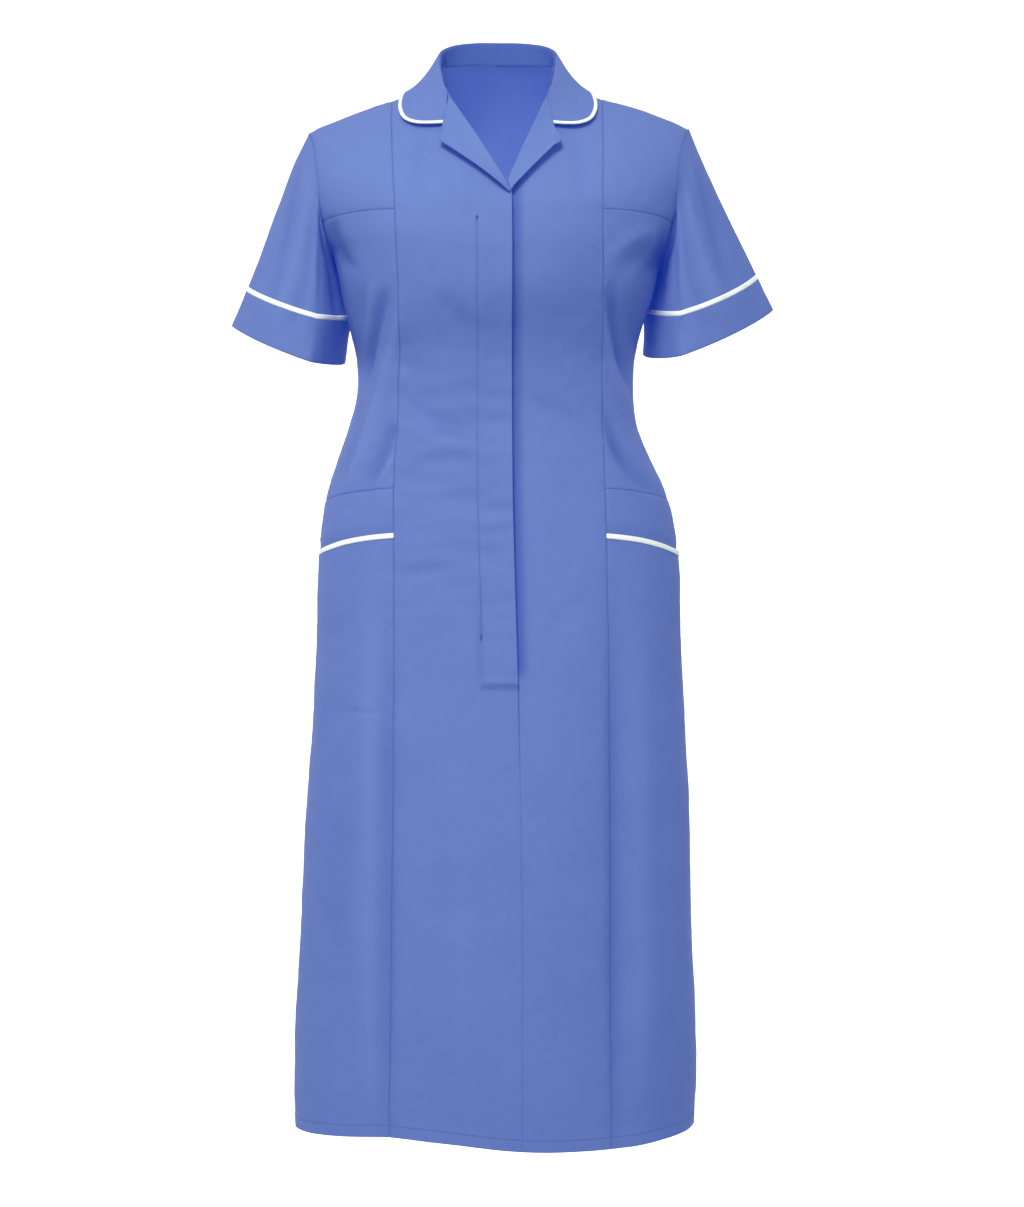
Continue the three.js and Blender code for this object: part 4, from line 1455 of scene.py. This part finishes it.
def body_normal(x, z):
    across = on_body(x + 1, z) - on_body(x - 1, z)
    up = on_body(x, z + 1) - on_body(x, z - 1)
    normal = np.cross(across, up)
    return normal / np.linalg.norm(normal, axis=-1)[..., None]


class DRESS_OT_revers(bpy.types.Operator):
    """Makes the turned-back tops of the two fronts"""

    bl_idname = "dress.revers"
    bl_label = "Revers"

    def execute(self, context):
        size = Sizes()
        for name, side in (("right", -1), ("left", 1)):
            self.make_rever(name, side, size)
        return {"FINISHED"}

    def make_rever(self, name, side, size):
        rows = dict(REVERS[name])
        rows["place"] = np.arange(len(rows["rollX"]), dtype=float)
        last = rows["place"][-1]
        upper, lower = (spread(reach, REVER_ROW_STEP) for reach in REVER_LENGTHS)
        upper = REVER_CORNER * upper
        lower = REVER_CORNER + (last - REVER_CORNER) * lower
        place = np.concatenate([upper, lower[1:]])[::-1, None]
        at = {label: np.interp(place, rows["place"], values) for label, values in rows.items()}
        length = np.hypot(at["outX"] - at["rollX"], at["outZ"] - at["rollZ"])
        bend = np.minimum(ROLL_RADIUS, length / 4)
        curl = bend * (1 + np.cos(ROLL_TURN)), bend * (1 + np.sin(ROLL_TURN))
        share = spread(REVER_WIDTH, REVER_STEP)[1:]
        flat = bend + (length - bend) * share
        stand = 2 * bend + at["lift"] * share**LIFT_POWER
        along = np.concatenate([curl[0], flat], 1)
        height = np.concatenate([curl[1], stand], 1) + REVER_GAP
        x = at["rollX"] + (at["outX"] - at["rollX"]) * along / length
        z = at["rollZ"] + (at["outZ"] - at["rollZ"]) * along / length
        points = on_body(x, z) + body_normal(x, z) * height[..., None]
        if side < 0:
            points = points[:, ::-1]
        relief = worn_relief(points, *REVER_WAVES)
        sewn_panel(f"lapel_{name}", pushed(points, relief), size.cloth)


# Stitching

# One stitch: place and width of its rings, its sides, the share of its step that it fills, and its lift
STITCH_RINGS = [(0, 0.35), (0.2, 1), (0.8, 1), (1, 0.35)]
STITCH_SIDES = 6
STITCH_FILL = 0.78
STITCH_LIFT = 0.1

# Radius of the thread on the fly, its bar tacks, the hem and the neck
FLY_THREAD = 0.28
TACK_THREAD = 0.32
HEM_THREAD = 0.24
NECK_THREAD = 0.25

# Bar tacks: half width, threads in each, distance between them, and lift
TACK_HALF = np.array([1.3, 0, 0])
TACK_ROWS = range(-3, 4)
TACK_STEP = 0.8 * UP
TACK_LIFT = 0.15

# Zigzag at the neck: half width, step, heights of its two sides, and how far before the stand it lies
ZIGZAG_HALF = 52
ZIGZAG_STEP = 2.4
ZIGZAG_HEIGHTS = (2.4, -0.4)
ZIGZAG_LIFT = 0.5


def along_line(path, step):
    """Points of a path at even steps along it."""
    run = np.concatenate([[0], np.cumsum(np.linalg.norm(np.diff(path, axis=0), axis=1))])
    at = np.arange(0, run[-1], step)
    return np.stack([np.interp(at, run, path[:, k]) for k in range(3)], -1)


def crossing(points, values, level, axis):
    """Points of a grid where values reach a level, one for each line along the axis."""
    found = []
    for line, value in zip(np.moveaxis(points, axis, 1), np.moveaxis(values, axis, 1)):
        order = np.argsort(value)
        found.append([np.interp(level, value[order], line[order, k]) for k in range(3)])
    return np.array(found)


def stitch_mesh(name, starts, ends, normals, radius):
    """Short threads lying on cloth from each start to each end."""
    along = ends - starts
    side = np.cross(along, normals)
    side /= np.maximum(np.linalg.norm(side, axis=1), TINY)[:, None]
    around = np.linspace(0, 2 * np.pi, STITCH_SIDES, endpoint=False)
    rings = []
    for share, scale in STITCH_RINGS:
        centre = starts + along * share
        spoke = side[:, None] * np.cos(around)[:, None] + normals[:, None] * np.sin(around)[:, None]
        rings.append(centre[:, None] + spoke * radius * scale)
    points = np.stack(rings, 1)
    ring = np.arange(STITCH_SIDES)
    after = np.roll(ring, -1)
    one = []
    for k in range(len(STITCH_RINGS) - 1):
        low, high = k * STITCH_SIDES, (k + 1) * STITCH_SIDES
        one += [(low + a, high + a, high + b, low + b) for a, b in zip(ring, after)]
    top = (len(STITCH_RINGS) - 1) * STITCH_SIDES
    caps = [tuple(ring), tuple(top + ring[::-1])]
    size = len(STITCH_RINGS) * STITCH_SIDES
    faces = []
    for k in range(len(starts)):
        faces += [tuple(k * size + v for v in face) for face in one + caps]
    mesh = bpy.data.meshes.new(name)
    mesh.from_pydata((points.reshape(-1, 3) * MM).tolist(), [], faces)
    mesh.polygons.foreach_set("use_smooth", np.ones(len(mesh.polygons), bool))
    return mesh


def sew(name, path, normals_of, step, radius):
    """A row of stitches along a path on the cloth."""
    points = along_line(path, step)
    starts, ends = points[:-1], points[1:]
    normals = normals_of((starts + ends) / 2)
    starts = starts + STITCH_LIFT * normals
    ends = ends + STITCH_LIFT * normals
    mesh = stitch_mesh(name, starts, starts + STITCH_FILL * (ends - starts), normals, radius)
    return dress_piece(name, mesh, material_of("thread"))


def sew_fly(points, size):
    """The line that holds the fly down, with a bar tack at each end."""
    inside = points[..., 0] - fly_edge(points[..., 2])
    line = crossing(points, inside, -FLY_STITCH, 1)
    line = line[(line[:, 2] > STITCH_BOTTOM - 2) & (line[:, 2] < FLY_TOP - 3)]

    def forward(places):
        return np.tile(FORWARD, (len(places), 1))

    row = sew("stitch_fly", line, forward, size.stitch, FLY_THREAD)
    tacks = np.array([end + TACK_STEP * k for end in (line[0], line[-1]) for k in TACK_ROWS])
    tacks = tacks + TACK_LIFT * FORWARD
    mesh = stitch_mesh("stitch_tacks", tacks - TACK_HALF, tacks + TACK_HALF, forward(tacks), TACK_THREAD)
    return row, dress_piece("stitch_tacks", mesh, material_of("thread"))


def sew_hem(node, points, size):
    """The line that holds the hem up."""

    def out(places):
        flat = places * LEVEL
        return flat / np.linalg.norm(flat, axis=1)[:, None]

    line = crossing(points, edge_distances(points)["low"], HEM_STITCH, 0)
    return sew(f"stitch_hem_{node}", line, out, size.stitch, HEM_THREAD)


def sew_neck():
    """Zigzag stitches inside the back of the neck, where the stand is sewn on."""
    x = np.arange(-ZIGZAG_HALF, ZIGZAG_HALF + 1, ZIGZAG_STEP)
    neck = on_body(x, column(BACK_NECK, "x", "z", np.abs(x)), True)
    rise = np.where(np.arange(len(x)) % 2, *ZIGZAG_HEIGHTS) - STAND_LAP
    neck = neck + np.stack([0 * x, 0 * x - STAND_LAP - ZIGZAG_LIFT, rise], -1)
    forward = np.tile(FORWARD, (len(x) - 1, 1))
    mesh = stitch_mesh("stitch_neck", neck[:-1], neck[1:], forward, NECK_THREAD)
    return dress_piece("stitch_neck", mesh, material_of("thread"))


# Stage, in metres

CAMERA_PLACE = (0.014, -2.8, -0.5235)
CAMERA_LENS = 83.5
WORLD_COLOUR = (0.82, 0.91, 1, 1)
WORLD_STRENGTH = 0.36

# Lights: name, place, what it points at, size, power, colour and spread in degrees
LIGHTS = (
    ("key_light", (-0.6, -2.2, 1.75), (0, 0, -0.72), 1.2, 11.6, (0.97, 0.96, 0.88), 60),
    ("fill_light", (0.5, -3.2, 0.1), (0, 0, -0.5), 1.4, 3, (1, 0.92, 0.76), 180),
    ("inside_light", (0, -0.01, -0.62), (0, 0.09, 0), 0.14, 1.8, (0.86, 0.94, 1), 180),
)

# Round floor that bends up into a wall, and its glow: at the front, and where it rises behind the dress
FLOOR_LEVEL = -1.32
FLOOR_RINGS = (0.15, 0.3, 0.45, 0.6, 0.75, 0.9, 1.1, 1.6, 3, 6)
COVE_BEND = 2
COVE_STEPS = 10
COVE_TOP = 6
COVE_TURNS = 72
PAPER_COLOUR = (0.5, 0.51, 0.52, 1)
PAPER_ROUGHNESS = 0.9
FLOOR_GLOW = 0.16
GLOW_FROM = 0.1
GLOW_TO = 0.9
WALL_GLOW_TO = 6.5


def area_light(name, place, target, size, power, colour, spread_angle):
    lamp = bpy.data.lights.new(name, "AREA")
    lamp.shape = "DISK"
    lamp.size = size
    lamp.energy = power
    lamp.color = colour
    lamp.spread = math.radians(spread_angle)
    holder = bpy.data.objects.new(name, lamp)
    holder.location = place
    aim = Vector(target) - Vector(place)
    holder.rotation_euler = aim.to_track_quat("-Z", "Y").to_euler()
    holder.visible_camera = False
    bpy.context.scene.collection.objects.link(holder)


class DRESS_OT_stage(bpy.types.Operator):
    """Sets the pale floor and backdrop, the lights and the camera"""

    bl_idname = "dress.stage"
    bl_label = "Studio"

    def execute(self, context):
        scene = context.scene
        self.add_cove(scene)
        world = bpy.data.worlds.new("studio_world")
        world.use_nodes = True
        sky = world.node_tree.nodes["Background"]
        sky.inputs["Color"].default_value = WORLD_COLOUR
        sky.inputs["Strength"].default_value = WORLD_STRENGTH
        scene.world = world
        scene.view_settings.view_transform = "Standard"
        for light in LIGHTS:
            area_light(*light)
        lens = bpy.data.cameras.new("photo_camera")
        lens.lens = CAMERA_LENS
        camera = bpy.data.objects.new("photo_camera", lens)
        camera.location = CAMERA_PLACE
        camera.rotation_euler = (math.pi / 2, 0, 0)
        scene.collection.objects.link(camera)
        scene.camera = camera
        return {"FINISHED"}

    def add_cove(self, scene):
        """A round floor that bends up into a wall, bright behind the dress and pale elsewhere."""
        profile = [(radius, FLOOR_LEVEL) for radius in FLOOR_RINGS]
        for turn in np.linspace(0, np.pi / 2, COVE_STEPS)[1:]:
            out = FLOOR_RINGS[-1] + COVE_BEND * math.sin(turn)
            profile.append((out, FLOOR_LEVEL + COVE_BEND * (1 - math.cos(turn))))
        profile.append((FLOOR_RINGS[-1] + COVE_BEND, COVE_TOP))
        around = np.linspace(0, 2 * np.pi, COVE_TURNS, endpoint=False)
        points = [(r * math.sin(a), r * math.cos(a), z) for r, z in profile for a in around]
        ring = np.arange(COVE_TURNS)
        after = np.roll(ring, -1)
        faces = [tuple(ring)]
        for k in range(len(profile) - 1):
            low, high = k * COVE_TURNS, (k + 1) * COVE_TURNS
            faces += [(low + a, high + a, high + b, low + b) for a, b in zip(ring, after)]
        mesh = bpy.data.meshes.new("studio_cove")
        mesh.from_pydata(points, [], faces)
        mesh.polygons.foreach_set("use_smooth", [True] * len(faces))
        mark = mesh.attributes.new("glow", "FLOAT", "POINT")
        x, y = np.array(points).T[:2]
        outer = smooth(FLOOR_RINGS[-3], FLOOR_RINGS[-1] + COVE_BEND, np.hypot(x, y))
        full = GLOW_TO + (WALL_GLOW_TO - GLOW_TO) * outer
        mark.data.foreach_set("value", FLOOR_GLOW + smooth(GLOW_FROM, full, y))
        paper = bpy.data.materials.new("studio_paper")
        paper.use_nodes = True
        shader = paper.node_tree.nodes["Principled BSDF"]
        shader.inputs["Base Color"].default_value = PAPER_COLOUR
        shader.inputs["Roughness"].default_value = PAPER_ROUGHNESS
        shader.inputs["Specular IOR Level"].default_value = 0
        shader.inputs["Emission Color"].default_value = (1, 1, 1, 1)
        glow = paper.node_tree.nodes.new("ShaderNodeAttribute")
        glow.attribute_name = "glow"
        paper.node_tree.links.new(glow.outputs["Fac"], shader.inputs["Emission Strength"])
        # So large a glow isn't sampled as a lamp
        paper.cycles.emission_sampling = "NONE"
        mesh.materials.append(paper)
        cove = bpy.data.objects.new("studio_cove", mesh)
        scene.collection.objects.link(cove)


class DRESS_PT_panel(bpy.types.Panel):
    """Sizes, colours and steps of the dress"""

    bl_idname = "DRESS_PT_panel"
    bl_label = "Uniform dress"
    bl_space_type = "VIEW_3D"
    bl_region_type = "UI"
    bl_category = "Dress"

    def draw(self, context):
        settings = context.scene.dress_settings
        for name in DressSettings.__annotations__:
            self.layout.prop(settings, name)
        for step in STEPS:
            self.layout.operator(step.bl_idname)


STEPS = (
    DRESS_OT_front,
    DRESS_OT_sides,
    DRESS_OT_back,
    DRESS_OT_sleeves,
    DRESS_OT_collar,
    DRESS_OT_revers,
    DRESS_OT_stage,
)
CLASSES = (DressSettings, *STEPS, DRESS_PT_panel)


def register():
    for cls in CLASSES:
        bpy.utils.register_class(cls)
    bpy.types.Scene.dress_settings = bpy.props.PointerProperty(type=DressSettings)


def unregister():
    del bpy.types.Scene.dress_settings
    for cls in reversed(CLASSES):
        bpy.utils.unregister_class(cls)


def main():
    register()
    bpy.ops.dress.front()
    bpy.ops.dress.sides()
    bpy.ops.dress.back()
    bpy.ops.dress.sleeves()
    bpy.ops.dress.collar()
    bpy.ops.dress.revers()
    bpy.ops.dress.stage()


if __name__ == "__main__":
    main()
